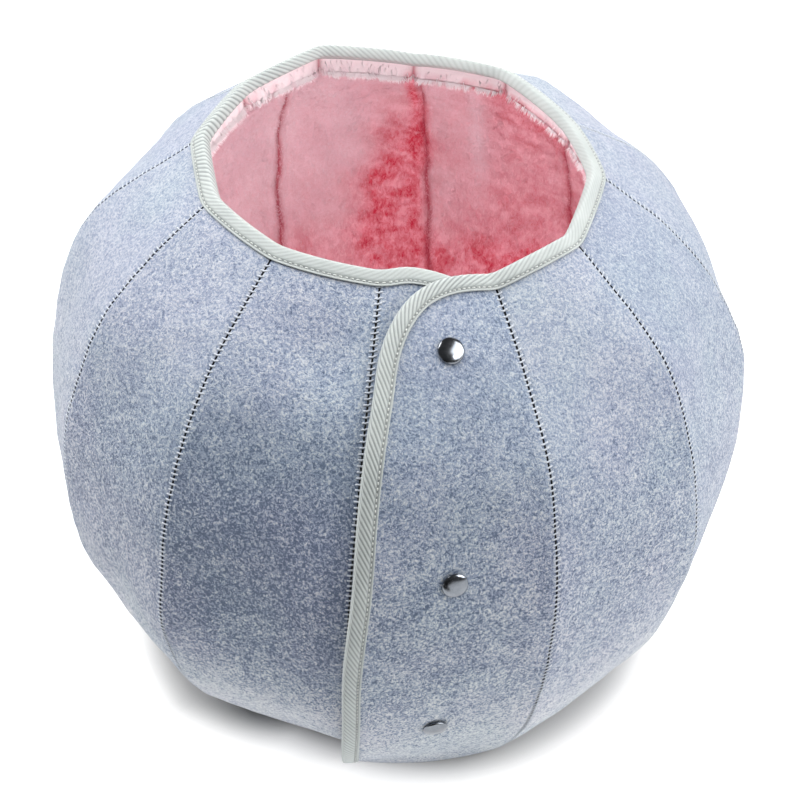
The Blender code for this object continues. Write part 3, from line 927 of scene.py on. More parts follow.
def make_felt(gore):
    column, row = np.meshgrid(FELT_COLUMNS, FELT_ROWS)
    column, row = column.ravel(), row.ravel()
    front = felt_face(gore, column, row, 0.0, GROOVE, EDGE_DROP)
    back = felt_face(gore, column, row, FELT, 0.0, 0.0)
    faces = slab_faces(len(FELT_COLUMNS), len(FELT_ROWS))
    thing = mesh_object(
        f"felt_{gore.name}", np.concatenate([front, back]), faces, (FELT_FINISH, GROOVE_SHADE_FINISH)
    )
    # The sides, the walls of the seam grooves, take the darkened felt: painted shade.
    sides = 2 * (len(FELT_ROWS) - 1)
    which = np.zeros(len(faces), np.int32)
    which[-sides:] = 1
    thing.data.polygons.foreach_set("material_index", which)
    # Painted light and shade for this gore; the flecks' contrast is softened towards the top, where the
    # light falls full on the felt.
    shade = PAINTED_LIGHT_BY_GORE.get(gore.name, PLAIN_PAINTED_LIGHT)
    up = gore.up(column, row)
    tone = felt_painted_light(gore, gore.across(column, up, GROOVE), up)
    give(thing, "tone", np.tile(tone + rng.uniform(-0.003, 0.003), 2))
    softer = 1 - 0.45 * smoothstep(0.50, 0.92, up)
    give(thing, "contrast", np.tile(shade.contrast * softer, 2))
    stand_for(thing, f"gore_{gore.name}")
    gore.sheet(thing, FELT_ROWS, "base_felt")


# ---- ladder stitching -------------------------------------------------------------------

def tube_bank(paths, outward, wide, tall):
    """Points and faces of many short flattened tubes.

    paths and outward are (tube, point, 3); wide and tall hold a half width for each point.
    """
    sides = 6
    tubes, length, _ = paths.shape
    ahead = np.roll(paths, -1, 1) - np.roll(paths, 1, 1)
    ahead[:, 0] = paths[:, 1] - paths[:, 0]
    ahead[:, -1] = paths[:, -1] - paths[:, -2]
    flank = unit(np.cross(unit(ahead), outward))
    turn = np.linspace(0, 2 * math.pi, sides, endpoint=False)
    ring = flank[:, :, None] * (wide[..., None] * np.cos(turn))[..., None]
    ring = ring + outward[:, :, None] * (tall[..., None] * np.sin(turn))[..., None]
    points = paths[:, :, None] + ring
    base = np.arange(tubes)[:, None, None] * length * sides
    quads = tube_faces(length, sides) + base
    near = np.arange(sides) + base
    far = np.arange(sides)[::-1] + (length - 1) * sides + base
    faces = quads.reshape(-1, 4).tolist() + near.reshape(-1, sides).tolist()
    faces += far.reshape(-1, sides).tolist()
    return points.reshape(-1, 3), faces


def seam_stitches(number, left, right):
    """A row of rungs across the seam between two gores, sinking into the felt at the foot."""
    rim = SEAMS[number].dip * MM + STITCH_TOP
    fine = np.linspace(0.010, float(up_at(np.array(rim))), 1200)
    at = lengths_along(seam_point(number, fine, np.zeros_like(fine)))
    places = np.arange(2 * MM, at[-1], STITCH_PITCH)
    places = places + rng.normal(0, 0.12 * MM, len(places))
    up = np.interp(places, at, fine)
    shows = stitch_shown(number, up)
    station, lift, taper = np.array(RUNG).T
    lift = lift * MM
    count = len(up)
    reach = STITCH_REACH * (0.62 + 0.38 * shows) * (1 + rng.normal(0, 0.06, count))
    off = station[None, :] * reach[:, None]
    ups = up[:, None] + station[None, :] * 0.40 * MM * (fine[-1] - fine[0]) / at[-1]
    ups = np.minimum(ups, 0.999)
    paths = np.zeros((count, len(station), 3))
    outward = np.zeros_like(paths)
    for side, gore in ((-1, left), (1, right)):
        pick = station <= 0 if side < 0 else station > 0
        u = ups[:, pick].ravel()
        across = np.abs(off[:, pick]).ravel() / gore.width(u)
        if side < 0:
            across = 1 - across
        drop = EDGE_DROP * 0.7 * bell(off[:, pick].ravel(), EDGE_REACH * 1.4)
        rise = lift[None, pick] - 0.20 * MM * (1 - shows[:, None])
        plain = gore.surface(across, u)
        stand = felt_relief(plain, u) + rise.ravel() + STITCH_TALL * 0.4 - drop
        paths[:, pick] = gore.surface(across, u, -stand).reshape(count, -1, 3)
        outward[:, pick] = gore.normal(across, u).reshape(count, -1, 3)
    thick = (0.80 + 0.20 * shows[:, None]) * taper[None, :]
    return tube_bank(paths, outward, STITCH_WIDE * thick, STITCH_TALL * thick)


def make_stitches():
    for number in range(COUNT):
        left = FLAP if number == 1 else GORES[(number - 2) % COUNT]
        right = UNDER if number == 0 else GORES[number - 1]
        points, faces = seam_stitches(number, left, right)
        thing = mesh_object(f"seam_stitch_{number:02d}", points, faces, (SEAM_THREAD,), 0)
        add(thing)


# ---- binding tape -----------------------------------------------------------------------

class TapePath:
    """The bound edge in one run: points, the felt's normal and the way off the cloth."""

    def __init__(self):
        points, normals, owners = [], [], []
        for owner, gore in enumerate((FLAP, *GORES, UNDER)):
            column, row = gore.edge_path(60)
            up = gore.up(column, row)
            across = gore.across(column, up, 0.0)
            points.append(gore.surface(across, up))
            normals.append(gore.normal(across, up))
            owners.append(np.full(len(up), owner))
        points = self.lengthened(np.concatenate(points))
        normals = np.concatenate(normals)
        normals = np.concatenate([normals[:1], normals, normals[-1:]])
        owners = np.concatenate([[0], *owners, [len(ALL_GORES) - 1]])
        steps = np.linalg.norm(np.diff(points, axis=0), axis=1)
        keep = np.concatenate([[True], steps > 1e-5])
        points, normals, owners = points[keep], normals[keep], owners[keep]
        at = lengths_along(points)
        self.begins = [at[owners == owner].min() for owner in range(len(ALL_GORES))]
        self.length = at[-1]
        self.step = 0.5 * MM
        self.at = np.arange(0.0, self.length, self.step)
        self.points = self.smoothed(self.resampled(at, points), 8.0 * MM)
        self.normals = unit(self.smoothed(self.resampled(at, normals), 9.0 * MM))
        along = unit(self.smoothed(np.gradient(self.points, axis=0), 5.0 * MM))
        self.off = unit(np.cross(self.normals, along))
        level = 1 - smoothstep(0.0, LEVEL_UP_TO * HEIGHT, self.points[:, 2])
        steep = self.normals[:, 2] * level
        self.normals = self.normals / (1 - steep * self.normals[:, 2])[:, None]
        self.normals[:, 2] *= 1 - level
        self.bend = np.zeros((len(self.at), len(FITTED)))

    def lengthened(self, points):
        """The path with a little more at both ends, to be cut off level with the floor."""
        more = 12 * MM
        first = points[0] + unit(points[0] - points[20]) * more
        last = points[-1] + unit(points[-1] - points[-21]) * more
        return np.concatenate([[first], points, [last]])

    def follow(self, felt):
        """Finds how far the felt rises from the tape's flat section, as a curve over its width."""
        tree = BVHTree.FromPolygons(*felt)
        rises = np.zeros((len(self.at), len(FITTED)))
        for j, share in enumerate(FITTED):
            starts = self.points + self.off * TAPE_EDGE * MM * share + self.normals * FIT_FROM
            for i, (start, normal) in enumerate(zip(starts, self.normals)):
                hit, _, _, distance = tree.ray_cast(Vector(start), -Vector(normal), 8 * MM)
                if hit is not None:
                    rises[i, j] = FIT_FROM - distance * np.linalg.norm(normal)
        curves = np.linalg.solve(np.vander(FITTED, increasing=True), rises.T).T
        self.bend = self.smoothed(curves, 6 * MM)

    def bend_at(self, s, off):
        """The felt's rise at distances s along the tape and off beyond the edge."""
        share = off.clip(max=0.0) / (TAPE_EDGE * MM)
        parts = [np.interp(s, self.at, column) * share**k for k, column in enumerate(self.bend.T)]
        return sum(parts)

    def wear(self, s):
        """How sharp the ribs are along the tape, worn smooth in places, and how they lean."""
        ends = np.array([*self.begins, self.length])
        middles = (ends[1:] + ends[:-1]) / 2
        middles[0] = ends[1] - 30 * MM
        ribs, lean = np.array(TAPE_WEAR).T
        foot = smoothstep(*PLAIN_FOOT, s)
        return foot * np.interp(s, middles, ribs), np.interp(s, middles, lean)

    def resampled(self, at, values):
        """Values known at distances `at` along the path, at its own even steps."""
        return np.stack([np.interp(self.at, at, column) for column in values.T], 1)

    def smoothed(self, values, reach):
        """A moving average that keeps both ends in place."""
        half = max(1, int(reach / self.step))
        padded = np.concatenate(
            [2 * values[:1] - values[half:0:-1], values, 2 * values[-1:] - values[-2 : -half - 2 : -1]]
        )
        weights = np.hanning(2 * half + 3)[1:-1]
        weights /= weights.sum()
        return np.stack([np.convolve(column, weights, "valid") for column in padded.T], 1)

    def floor_ends(self, section):
        """Where each line along the tape meets the floor at the path's two ends."""
        heights = self.points[:, None, 2] - self.normals[:, None, 2] * section[None, :, 0]
        heights = heights + self.off[:, None, 2] * section[None, :, 1]
        count = int(60 * MM / self.step)
        low, high = [], []
        for column in heights.T:
            low.append(np.interp(FLOOR_GAP, column[:count], self.at[:count]))
            high.append(np.interp(FLOOR_GAP, column[: -count - 1 : -1], self.at[: -count - 1 : -1]))
        return np.array(low), np.array(high)

    def frames(self, s):
        """Points, normals and the way off the cloth at distances s along the tape."""
        found = []
        for values in (self.points, self.normals, self.off):
            found.append(np.stack([np.interp(s, self.at, column) for column in values.T], 1))
        return found


PATH = TapePath()


def tape_section():
    """Across the tape's outer face: inward, off the edge, its normal's two parts, rib share."""
    near, far = -GAP, FELT + PINCHED + 3 * GAP
    middle, half = (near + far) / 2, (far - near) / 2 + TAPE
    outside = np.array([TAPE_EDGE, -8.1, -7.5, -6.9, -6.3, -5.7, -4.4, -2.4, -0.8])
    inside = np.array([-0.8, -2.4, -4.8, -6.1, -6.9, -7.7, TAPE_EDGE])
    pressed, turned_out, fold = 0.55 * MM, 0.05, 1.2 * MM
    groove = TAPE_STITCH_OFF / MM
    rows = []
    for side, offs in ((-1.0, outside), (1.0, inside)):
        if side > 0:
            for i in range(1, 7):
                turn = math.pi * i / 7
                inward = middle - half * math.cos(turn)
                rows.append((inward, fold * math.sin(turn), -math.cos(turn), math.sin(turn), 1.0))
        for off in offs:
            press = pressed * bell((off - groove) * MM, TAPE_STITCH_GROOVE)
            flare = -off * MM * turned_out if side > 0 else 0.0
            ribbed = float(smoothstep(groove + 0.7, groove + 1.4, np.array(off)))
            face = near - TAPE if side < 0 else far + TAPE + flare
            rows.append((face - side * press, off * MM, side, 0.0, ribbed))
    return np.array(rows)


def rib_profile(phase):
    """Rounded ribs with narrow valleys: 0 in a valley and 1 on a crest."""
    return np.abs(np.cos(math.pi * phase)) ** 0.8


def make_tape():
    """The folded tape: rows of points slanted like its ribs, run along the whole bound edge."""
    section = tape_section()
    run = lengths_along(section[:, :2])
    lean = (run - run[-1] / 2) / math.tan(RIB_SLANT)
    reach = float(np.abs(lean).max())
    low, high = PATH.floor_ends(section)
    starts = np.arange(-reach, PATH.length + reach, RIB_PERIOD / RIB_STEPS)
    s = starts[:, None] + lean[None, :] * PATH.wear(starts)[1][:, None]
    keep = ((s - low[None, :]).max(1) > 0) & ((s - high[None, :]).min(1) < 0)
    s, starts = np.clip(s[keep], low[None, :], high[None, :]), starts[keep]
    rows, columns = s.shape
    point, normal, off = (a.reshape(rows, columns, 3) for a in PATH.frames(s.ravel()))
    wear = 0.5 + 0.5 * np.sin(s * 21.0 + 2.0 * np.sin(s * 7.0))
    show = PATH.wear(s)[0] * section[None, :, 4]
    profile = rib_profile(starts / RIB_PERIOD)[:, None]
    raised = RIB_HEIGHT * profile * show * (0.75 + 0.25 * wear)
    off_edge = np.broadcast_to(section[None, :, 1], s.shape)
    inward = section[None, :, 0] + section[None, :, 2] * raised - PATH.bend_at(s, off_edge)
    away = section[None, :, 1] + section[None, :, 3] * raised
    outer = point - normal * inward[..., None] + off * away[..., None]
    thin = TAPE * 0.8
    inner_in = inward - section[None, :, 2] * thin
    inner_off = section[:, 1] - section[:, 3] * thin
    inner = point - normal * inner_in[..., None] + off * inner_off[None, :, None]
    points = np.concatenate([outer.reshape(-1, 3), inner.reshape(-1, 3)])
    points[:, 2] = np.maximum(points[:, 2], FLOOR_GAP)
    faces = slab_faces(columns, rows)
    thing = mesh_object("binding_tape", points, faces, (TAPE_FINISH,), 0)
    # Painted shade: dark in the rib valleys and the stitch groove; the face is also a little darker where
    # the ribs fade.
    valley = 1 - show * (1 - profile) * (0.80 + 0.20 * wear) - 0.18 * (1 - show)
    groove = bell(section[:, 1] - TAPE_STITCH_OFF, TAPE_STITCH_GROOVE)
    groove = groove * (np.abs(section[:, 2]) == 1)
    share = (valley * (1 - 0.72 * groove[None, :])).ravel()
    give(thing, "rib", np.concatenate([share, np.full(rows * columns, 0.5)]))
    weld(thing)
    stand_for(thing, "binding")


def weld(thing):
    """Joins points that lie on one another, and turns the faces outward."""
    work = bmesh.new()
    work.from_mesh(thing.data)
    bmesh.ops.remove_doubles(work, verts=work.verts, dist=1e-6)
    bmesh.ops.recalc_face_normals(work, faces=work.faces)
    work.to_mesh(thing.data)
    work.free()


def make_tape_stitches():
    """The stitch line along the tape's lower edge, as dashes lying in its groove."""
    low, high = PATH.floor_ends(np.array([[0.0, TAPE_STITCH_OFF]]))
    places = np.arange(low[0] + 3 * MM, high[0] - 3 * MM, TAPE_STITCH_PITCH)
    station, lift, taper = np.array(DASH).T
    s = (places[:, None] + station * MM).ravel()
    shape = (len(places), len(station), 3)
    point, normal, off = PATH.frames(s)
    rise = np.broadcast_to(lift * MM, shape[:2]).ravel()
    out = GAP + TAPE - 0.35 * MM + rise + PATH.bend_at(s, np.full(len(s), TAPE_STITCH_OFF))
    paths = point + normal * out[:, None] + off * TAPE_STITCH_OFF
    thick = np.broadcast_to(taper * DASH_THICK, shape[:2])
    points, faces = tube_bank(paths.reshape(shape), normal.reshape(shape), thick, thick)
    thing = mesh_object("tape_stitch", points, faces, (TAPE_THREAD,), 0)
    add(thing)


# ---- plush lining -----------------------------------------------------------------------

LINING_COLUMNS = np.concatenate([[0.0, 0.004], eased_columns(24)[1:-1], [0.996, 1.0]])
LINING_ROWS = np.concatenate([np.linspace(0.0, 0.9, 56)[:-1], np.linspace(0.9, 1.0, 24)])
EDGE_POINTS = PATH.points[::4]
FAR = 60 * MM


def edge_distance(gore, points, row):
    """Each point's distance from the bound edge, where it is near enough to matter."""
    nearest = np.full(len(points), FAR)
    near = np.flatnonzero((row > 0.85) | (gore in (UNDER, FLAP)))
    for start in range(0, len(near), 4000):
        pick = near[start : start + 4000]
        gap = np.linalg.norm(points[pick, None] - EDGE_POINTS[None], axis=2)
        nearest[pick] = gap.min(1)
    return nearest


def pile_height(away):
    """The plush's thickness: pinched in the tape, then a fluffy ledge that thins down the wall."""
    ledge = smoothstep(9.4 * MM, 12.4 * MM, away)
    full = PLUSH - 1.0 * MM + LEDGE * bell((away - 12 * MM).clip(0), 15 * MM)
    return PINCHED + (full - PINCHED) * ledge


def painted_shade_at(points):
    """How red the plush is drawn with painted shade and reflected light: deepest low on the back wall, at
    and beside its middle seam.
    """
    x, y, z = (points - AXIS).T
    turn = np.degrees(np.arctan2(y, x))
    wander = 3.0 * np.sin(z * 46.0) + 1.5 * np.sin(z * 131.0 + 1.0)
    core = bell(turn - 91.5 - wander * 0.6, 6.5) * smoothstep(0.335, 0.20, z)
    seam = 0.75 * bell(turn - 86.5 - 0.25 * wander, 1.6)
    right = smoothstep(92, 64, turn) * smoothstep(-70, 10, turn)
    right = right * (0.42 + 0.14 * smoothstep(0.30, 0.12, z))
    corner = 0.44 * bell(turn - 56, 15) * smoothstep(0.21, 0.30, z)
    streak = -0.34 * bell(turn - 73.5, 2.0) * smoothstep(0.16, 0.24, z)
    low = 0.20 * smoothstep(0.26, 0.10, z) + 0.34 * smoothstep(0.168, 0.128, z)
    left = 0.24 * smoothstep(126, 140, turn)
    beside = 0.10 * bell(turn - 109, 5) * smoothstep(0.32, 0.26, z)
    return np.clip(0.05 + 0.95 * core + seam + right + corner + streak + low + left + beside, 0, 1)


class Lining:
    """One panel of plush: its cavity-side face, and facts about points on it."""

    behind = FELT + 2.5 * GAP

    def __init__(self, gore):
        self.gore = gore
        self.butted = PLUSH * math.tan(math.pi / COUNT) + GAP / 2

    def plain(self, column, row, inward, retreat):
        """Points at a depth behind the felt, drawn back from the seams and above the base."""
        gore = self.gore
        up = gore.up(column, row)
        foot = smoothstep(0.08, 0.0, row)
        up = up + foot * (LINING_LEVEL / HEIGHT) * (1 - row / 0.08).clip(0, 1)
        across = gore.across(column, up, retreat)
        return gore.surface(across, up, inward), across, up

    def crease(self, across, up):
        """Darkness of the seams, whose lines wander a little."""
        width = self.gore.width(up)
        wander = (0.9 * np.sin(up * 38.0) + 0.5 * np.sin(up * 91.0 + 1.3)) * MM
        dark = np.zeros_like(up)
        if self.gore.sewn[0]:
            dark = np.maximum(dark, bell(across * width - wander, CREASE_WIDE))
        if self.gore.sewn[1]:
            dark = np.maximum(dark, bell((1 - across) * width + wander, CREASE_WIDE))
        return dark

    def inner(self, column, row):
        """Points of the cavity-side face, their shares of painted rim light and of crease, and how far
        down.
        """
        root, across, up = self.plain(column, row, self.behind, self.butted)
        away = edge_distance(self.gore, self.gore.surface(across, up), row)
        depth = pile_height(away)
        seam = sewn_distance(self.gore, across, up)
        fold = 0.55 * bell(seam, 2.0 * MM)
        ridge = 0.9 * bell(seam - 5.0 * MM, 2.6 * MM)
        lumps = plush_waves(root) * 0.45 + plush_tufts(root) * 0.15
        below = smoothstep(10 * MM, 20 * MM, away)
        depth = depth + (lumps + ridge - fold) * MM * below
        depth = depth - (depth - PINCHED) * 0.55 * bell(seam, 3.0 * MM) * (1 - below)
        points, _, _ = self.plain(column, row, self.behind + depth, 0.0)
        # the share of painted light on the ledge below the tape
        rim = 1 - smoothstep(12.6 * MM, 13.8 * MM, away + plush_tufts(root) * 0.8 * MM)
        return points, rim, self.crease(across, up) * 0.9, away

    def build(self):
        column, row = np.meshgrid(LINING_COLUMNS, LINING_ROWS)
        column, row = column.ravel(), row.ravel()
        front, rim, crease, _ = self.inner(column, row)
        back, _, _ = self.plain(column, row, self.behind, self.butted)
        faces = slab_faces(len(LINING_COLUMNS), len(LINING_ROWS))[:, ::-1]
        name = self.gore.name
        points = np.concatenate([front, back])
        thing = mesh_object(f"plush_{name}", points, faces, (PLUSH_FINISH,), 50)
        plain = np.zeros(len(back))
        # painted light pales the ledge below the tape; painted shade and reflected light redden the plush
        # deep in the cavity
        give(thing, "rim", np.concatenate([rim, plain]))
        give(thing, "crease", np.concatenate([crease, plain]))
        give(thing, "painted_deep_shade", np.concatenate([painted_shade_at(front), plain]))
        stand_for(thing, f"lining_{name}")
        self.gore.sheet(thing, LINING_ROWS, f"felt_{name}")

    def roots(self, count):
        """Scattered places for the pile, closer together along the rim."""
        even = np.linspace(0, 1, 200)
        widths = self.gore.width(self.gore.up(np.full_like(even, 0.5), even))
        chance = np.concatenate([[0.0], np.cumsum(widths)])
        row = np.interp(rng.uniform(0, chance[-1], count), chance, np.linspace(0, 1, 201))
        at_rim = count // 5
        row[:at_rim] = rng.uniform(0.955, 0.980, at_rim)
        column = rng.uniform(0.004, 0.996, count)
        if self.gore is FLAP:
            column[: at_rim // 2] = rng.uniform(0.10, 0.22, at_rim // 2)
            row[: at_rim // 2] = rng.uniform(0.0, 0.97, at_rim // 2)
        return column, np.clip(row, 0.004, 0.995)


def make_pile(lining):
    """Blades of nap combed down the wall, and an upright tuft along the rim, drawn paler with painted
    light.
    """
    column, row = lining.roots(PILE_PER_PANEL)
    found = lining.inner(column, row)
    keep = found[3] > 9.8 * MM
    column, row = column[keep], row[keep]
    points, rim, crease, away = (part[keep] for part in found)
    count = len(points)
    step = 0.004
    ahead = lining.inner(column, row + step)[0] - points
    side = lining.inner(np.clip(column + step, 0, 1), row)[0] - points
    normal = unit(np.cross(ahead, side) + 1e-14)
    upright = (1 - smoothstep(10.8 * MM, 12.2 * MM, away))[:, None]
    comb = np.stack([plush_waves(points * k + k) for k in (1.0, 0.9, 0.8)], 1) * 0.35
    nap = -unit(ahead) + comb + rng.normal(0, 0.28, (count, 3))
    nap = unit(nap - normal * (nap * normal).sum(1, keepdims=True))
    direction = unit(nap + normal * (0.32 + rng.uniform(0, 0.15, (count, 1))))
    wall = unit(points - AXIS - [0.0, 0.0, HEIGHT * 0.55])
    tuft = unit(rng.normal(0, 0.25, (count, 3)) - wall + 0.15 * UP)
    direction = unit(direction * (1 - upright) + tuft * upright)
    flat = np.cross(normal, direction) * (1 - upright) + np.cross(UP, direction) * upright
    across = unit(flat + rng.normal(0, 0.12, (count, 3)))
    height = (2.6 + 1.8 * rim) * MM * rng.uniform(0.7, 1.25, count)
    width = (0.62 - 0.28 * rim) * MM * rng.uniform(0.8, 1.2, count)
    root = points - normal * 0.15 * MM
    tip = root + direction * height[:, None]
    blades = np.stack([root - across * width[:, None], root + across * width[:, None], tip], 1)
    facing = np.cross(blades[:, 1] - blades[:, 0], blades[:, 2] - blades[:, 0])
    wrong = (facing * (normal * (1 - upright) + UP * upright)).sum(1) < 0
    blades[wrong] = blades[wrong][:, [1, 0, 2]]
    faces = np.arange(count * 3).reshape(-1, 3)
    name = f"pile_{lining.gore.name}"
    thing = mesh_object(name, blades.reshape(-1, 3), faces, (PILE_FINISH,), 0)
    # The rim share draws the tufts pale with painted light; the red share is painted shade and reflected
    # light.
    give(thing, "rim", np.repeat(rim, 3))
    give(thing, "crease", np.repeat(crease * 0.6, 3))
    painted_deep_shade = np.clip(painted_shade_at(points) + rng.normal(0, 0.05, count), 0, 1)
    give(thing, "painted_deep_shade", np.repeat(painted_deep_shade, 3))
    soft = unit(normal + 0.22 * unit(facing) * np.where(wrong, -1, 1)[:, None])
    soft = unit(soft * (1 - upright) + unit(UP - 0.5 * wall) * upright)
    attribute = thing.data.attributes.new("nap", "FLOAT_VECTOR", "POINT")
    attribute.data.foreach_set("vector", np.repeat(soft, 3, 0).astype(np.float32).ravel())
    add(thing)


# ---- base -------------------------------------------------------------------------------

def base_outline(inset):
    """The gores' foot line moved inward, as even points about the ball's axis."""
    corners = []
    floor = np.zeros(1)
    for index in range(1, COUNT + 1):
        corner = seam_point(index, floor, floor)[0] - AXIS
        corners.append(corner - unit(corner * [1, 1, 0]) * inset)
    for across, further in BASE_STEPS:
        point = UNDER.surface(np.array([across]), floor)[0] - AXIS
        corners.append(point - unit(point * [1, 1, 0]) * (inset + further))
    closed = np.array(corners + corners[:1])[:, :2]
    at = lengths_along(closed)
    even = np.linspace(0, at[-1], 241)[:-1]
    return np.stack([np.interp(even, at, column) for column in closed.T], 1)


def make_base(name, node, inset, thickness, level, finish, roughness):
    """A flat round with a soft edge, from rings round its middle.

    A ring is its share of the outline and its share of the thickness, from below to above.
    """
    edge = base_outline(inset)
    count = len(edge)
    rings = [(0.08, 0.0)] + [(x, 0.0) for x in np.linspace(0.3, 0.985, 6)] + [(0.996, 0.12)]
    rings += [(1.0, 0.5), (0.997, 0.9), (0.99, 1.0)] + [(x, 1.0) for x in np.linspace(0.95, 0.08, 22)]
    points = []
    for share, height in rings:
        ring = np.concatenate([edge * share, np.full((count, 1), height * thickness)], 1)
        ring[:, 2] += plush_waves(ring) * roughness * (share < 0.97) * (height == 1)
        points.append(ring)
    points = np.concatenate(points) + AXIS + [0, 0, level]
    faces = tube_faces(len(rings), count)[:, ::-1].tolist()
    faces.append(list(range(len(points) - count, len(points))))
    faces.append(list(range(count))[::-1])
    thing = mesh_object(name, points, faces, (finish,))
    rim = np.zeros(len(points))
    for key in ("rim", "crease", "tone"):
        give(thing, key, rim)
    give(thing, "contrast", rim + 1)
    # the base plush takes a middling share of the painted shade deep in the cavity
    give(thing, "painted_deep_shade", rim + 0.45)
    stand_for(thing, node)


# ---- snaps ------------------------------------------------------------------------------

def cap_profile():
    """(radius, height over the flap's face) from the dome's top to the socket behind the felt."""
    dome, edge = 3.6 * MM, 1.3 * MM
    rows = []
    for i in range(15):
        turn = math.pi / 2 * i / 14
        rows.append((CAP_RADIUS * math.sin(turn), edge + (dome - edge) * math.cos(turn)))
    behind = -(FELT + SEAT)
    rows += [
        (CAP_RADIUS - 0.1 * MM, 0.85 * MM),
        (CAP_RADIUS - 0.6 * MM, SEAT * 0.5),
        (SHANK_RADIUS, SEAT * 0.5),
        (SHANK_RADIUS, behind),
        (FLANGE_RADIUS - 0.3 * MM, behind),
        (FLANGE_RADIUS, behind - 0.3 * MM),
        (FLANGE_RADIUS, behind - 2.1 * MM),
        (FLANGE_RADIUS - 0.3 * MM, behind - 2.4 * MM),
        (2.6 * MM, behind - 2.4 * MM),
        (2.6 * MM, behind - 1.0 * MM),
        (0.0, behind - 1.0 * MM),
    ]
    return rows


def stud_profile():
    """(radius, height over the under gore's face) from the stud's tip to its back."""
    behind = -(FELT + SEAT)
    return [
        (0.0, 5.0 * MM),
        (1.2 * MM, 5.0 * MM),
        (1.7 * MM, 4.8 * MM),
        (2.0 * MM, 4.4 * MM),
        (1.9 * MM, 3.9 * MM),
        (1.7 * MM, 3.6 * MM),
        (1.7 * MM, 1.2 * MM),
        (FLANGE_RADIUS - 0.3 * MM, 1.2 * MM),
        (FLANGE_RADIUS, 0.9 * MM),
        (FLANGE_RADIUS, SEAT * 0.7),
        (SHANK_RADIUS, SEAT * 0.7),
        (SHANK_RADIUS, behind),
        (FLANGE_RADIUS - 0.2 * MM, behind),
        (FLANGE_RADIUS, behind - 0.2 * MM),
        (FLANGE_RADIUS, behind - 1.3 * MM),
        (FLANGE_RADIUS - 0.6 * MM, behind - 1.8 * MM),
        (0.0, behind - 2.2 * MM),
    ]


def lathe(name, profile, point, normal):
    """A round piece with its profile's first and last points on the axis."""
    sides = 48
    radii, heights = np.array(profile).T
    turn = np.linspace(0, 2 * math.pi, sides, endpoint=False)
    spokes = np.stack([np.cos(turn), np.sin(turn), np.zeros(sides)], 1)
    rings = radii[1:-1, None, None] * spokes + heights[1:-1, None, None] * UP
    points = np.concatenate([rings.reshape(-1, 3), heights[[0, -1], None] * UP])
    top, foot = len(points) - 2, len(points) - 1
    last = (len(rings) - 1) * sides
    faces = tube_faces(len(rings), sides).tolist()
    for i in range(sides):
        n = (i + 1) % sides
        faces.append((top, i, n))
        faces.append((foot, last + n, last + i))
    thing = mesh_object(name, points, faces, (SNAP_FINISH,), 35)
    turned = Vector(normal).to_track_quat("Z", "Y").to_matrix().to_4x4()
    thing.data.transform(Matrix.Translation(Vector(point)) @ turned)
    return thing


def make_snaps():
    for number, (across, up) in enumerate(SNAPS, start=1):
        spot = np.array([across]), np.array([up])
        normal = FLAP.normal(*spot)[0]
        point = FLAP.surface(*spot)[0]
        point = point + normal * felt_relief(point[None], spot[1])[0]
        cap = lathe(f"snap_cap_shine_{number}", cap_profile(), point, normal)
        stand_for(cap, f"snap_cap_{number}")
        low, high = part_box(f"snap_stud_{number}")
        back = np.array((low + high) / 2)
        profile = stud_profile()
        middle = (profile[0][1] + profile[-1][1]) / 2
        stud = lathe(f"snap_stud_shine_{number}", profile, back - normal * middle, normal)
        stand_for(stud, f"snap_stud_{number}")


# ---- stage ------------------------------------------------------------------------------

def make_floor():
    """A round floor that glows with painted light, fading out under the object into a painted contact
    shadow.
    """
    sides = 180
    turn = np.linspace(0, 2 * math.pi, sides, endpoint=False)
    azimuths, reaches = np.array(FLOOR_PAINTED_SHADOW, float).T
    reach = np.interp(np.degrees(turn), azimuths, reaches, period=360) * MM
    radii = np.concatenate([[0.06, 0.12], np.arange(0.14, 0.24, 0.004), [0.3, 1.0, 4.0, 12.0]])
    rays = np.stack([np.cos(turn), np.sin(turn), np.zeros(sides)], 1)
    points = (radii[:, None, None] * rays[None]).reshape(-1, 3) + AXIS - UP * FLOOR_DROP
    faces = tube_faces(len(radii), sides).tolist() + [list(range(sides))]
    floor = mesh_object("floor", points, faces, (floor_finish(),), 0)
    bright = smoothstep(*FLOOR_FADE, radii[:, None] - reach)
    give(floor, "glow", (FLOOR_GLOW * (0.04 + 0.96 * bright)).ravel())


def make_card():
    """Black cloth that the camera never sees, for the dark in the snaps and on the front."""
    flat = [(CARD_LEFT, CARD_NEAR), (CARD_RIGHT, CARD_NEAR), (CARD_RIGHT, CARD_FAR), (CARD_LEFT, CARD_FAR)]
    tall = [(CARD_LEFT, 0.0), (CARD_TALL_RIGHT, 0.0), (CARD_TALL_RIGHT, CARD_TALL), (CARD_LEFT, CARD_TALL)]
    points = [(x, y, 0.0) for x, y in flat] + [(x, CARD_FAR, z) for x, z in tall]
    card = mesh_object("card", points, [[0, 1, 2, 3], [4, 5, 6, 7]], (card_finish(),), 0)
    card.visible_camera = False


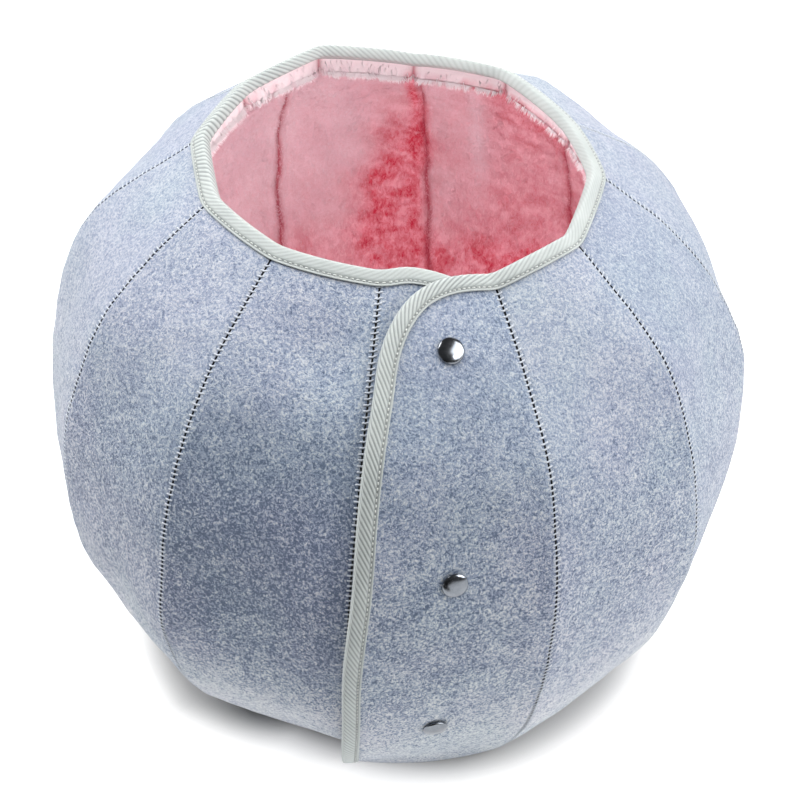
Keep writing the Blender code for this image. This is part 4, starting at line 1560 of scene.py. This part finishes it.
def make_light(row):
    data = bpy.data.lights.new(row.name, "AREA")
    data.shape = "RECTANGLE"
    data.size, data.size_y = row.size
    data.energy = row.power
    data.color = LIGHT_COLOUR
    light = bpy.data.objects.new(row.name, data)
    bpy.context.scene.collection.objects.link(light)
    light.location = row.place
    way = Vector(row.aim) - Vector(row.place)
    light.rotation_euler = way.to_track_quat("-Z", "Y").to_euler()
    light.visible_glossy = row.name != NOT_IN_REFLECTIONS
    light.visible_diffuse = row.name != ONLY_IN_REFLECTIONS


def make_world():
    world = bpy.data.worlds.new("studio")
    world.use_nodes = True
    background = world.node_tree.nodes["Background"]
    background.inputs["Color"].default_value = (1.0, 1.0, 1.0, 1.0)
    background.inputs["Strength"].default_value = WORLD_STRENGTH
    bpy.context.scene.world = world
    bpy.context.scene.view_settings.view_transform = "Standard"


def make_camera():
    """The photo's viewpoint, fitted to the ball's outline in its frame of 800 pixels."""
    elevation, roll = math.radians(40.156), math.radians(0.931)
    distance, focal_px, frame_px = 1.1313, 1724.457, 800
    centre_px = (395.84, 380.08)
    target = Vector((AXIS[0], AXIS[1], 0.17618))
    back = Vector((0, -math.cos(elevation), math.sin(elevation)))
    data = bpy.data.cameras.new("camera")
    data.sensor_width = 36.0
    data.lens = focal_px * data.sensor_width / frame_px
    data.shift_x = (frame_px / 2 - centre_px[0]) / frame_px
    data.shift_y = -(frame_px / 2 - centre_px[1]) / frame_px
    camera = bpy.data.objects.new("camera", data)
    bpy.context.scene.collection.objects.link(camera)
    camera.location = target + back * distance
    turn = (-back).to_track_quat("-Z", "Y")
    camera.rotation_mode = "QUATERNION"
    camera.rotation_quaternion = turn @ Matrix.Rotation(roll, 3, "Z").to_quaternion()
    bpy.context.scene.camera = camera


# ---- the whole --------------------------------------------------------------------------

make_camera()
make_floor()
make_card()
for row in LIGHTS:
    make_light(row)
make_world()
for gore in ALL_GORES:
    make_felt(gore)
make_stitches()
PATH.follow(felt_skin())
make_tape()
make_tape_stitches()
for gore in ALL_GORES:
    lining = Lining(gore)
    lining.build()
    make_pile(lining)
make_base("base_round", "base_felt", 3.0 * MM, FELT, 0.0, FELT_FINISH, 0.0)
make_base(
    "base_plush", "base_lining", 1.8 * MM, PLUSH, BASE_PLUSH_LEVEL, PLUSH_FINISH, 0.5 * MM
)
make_snaps()
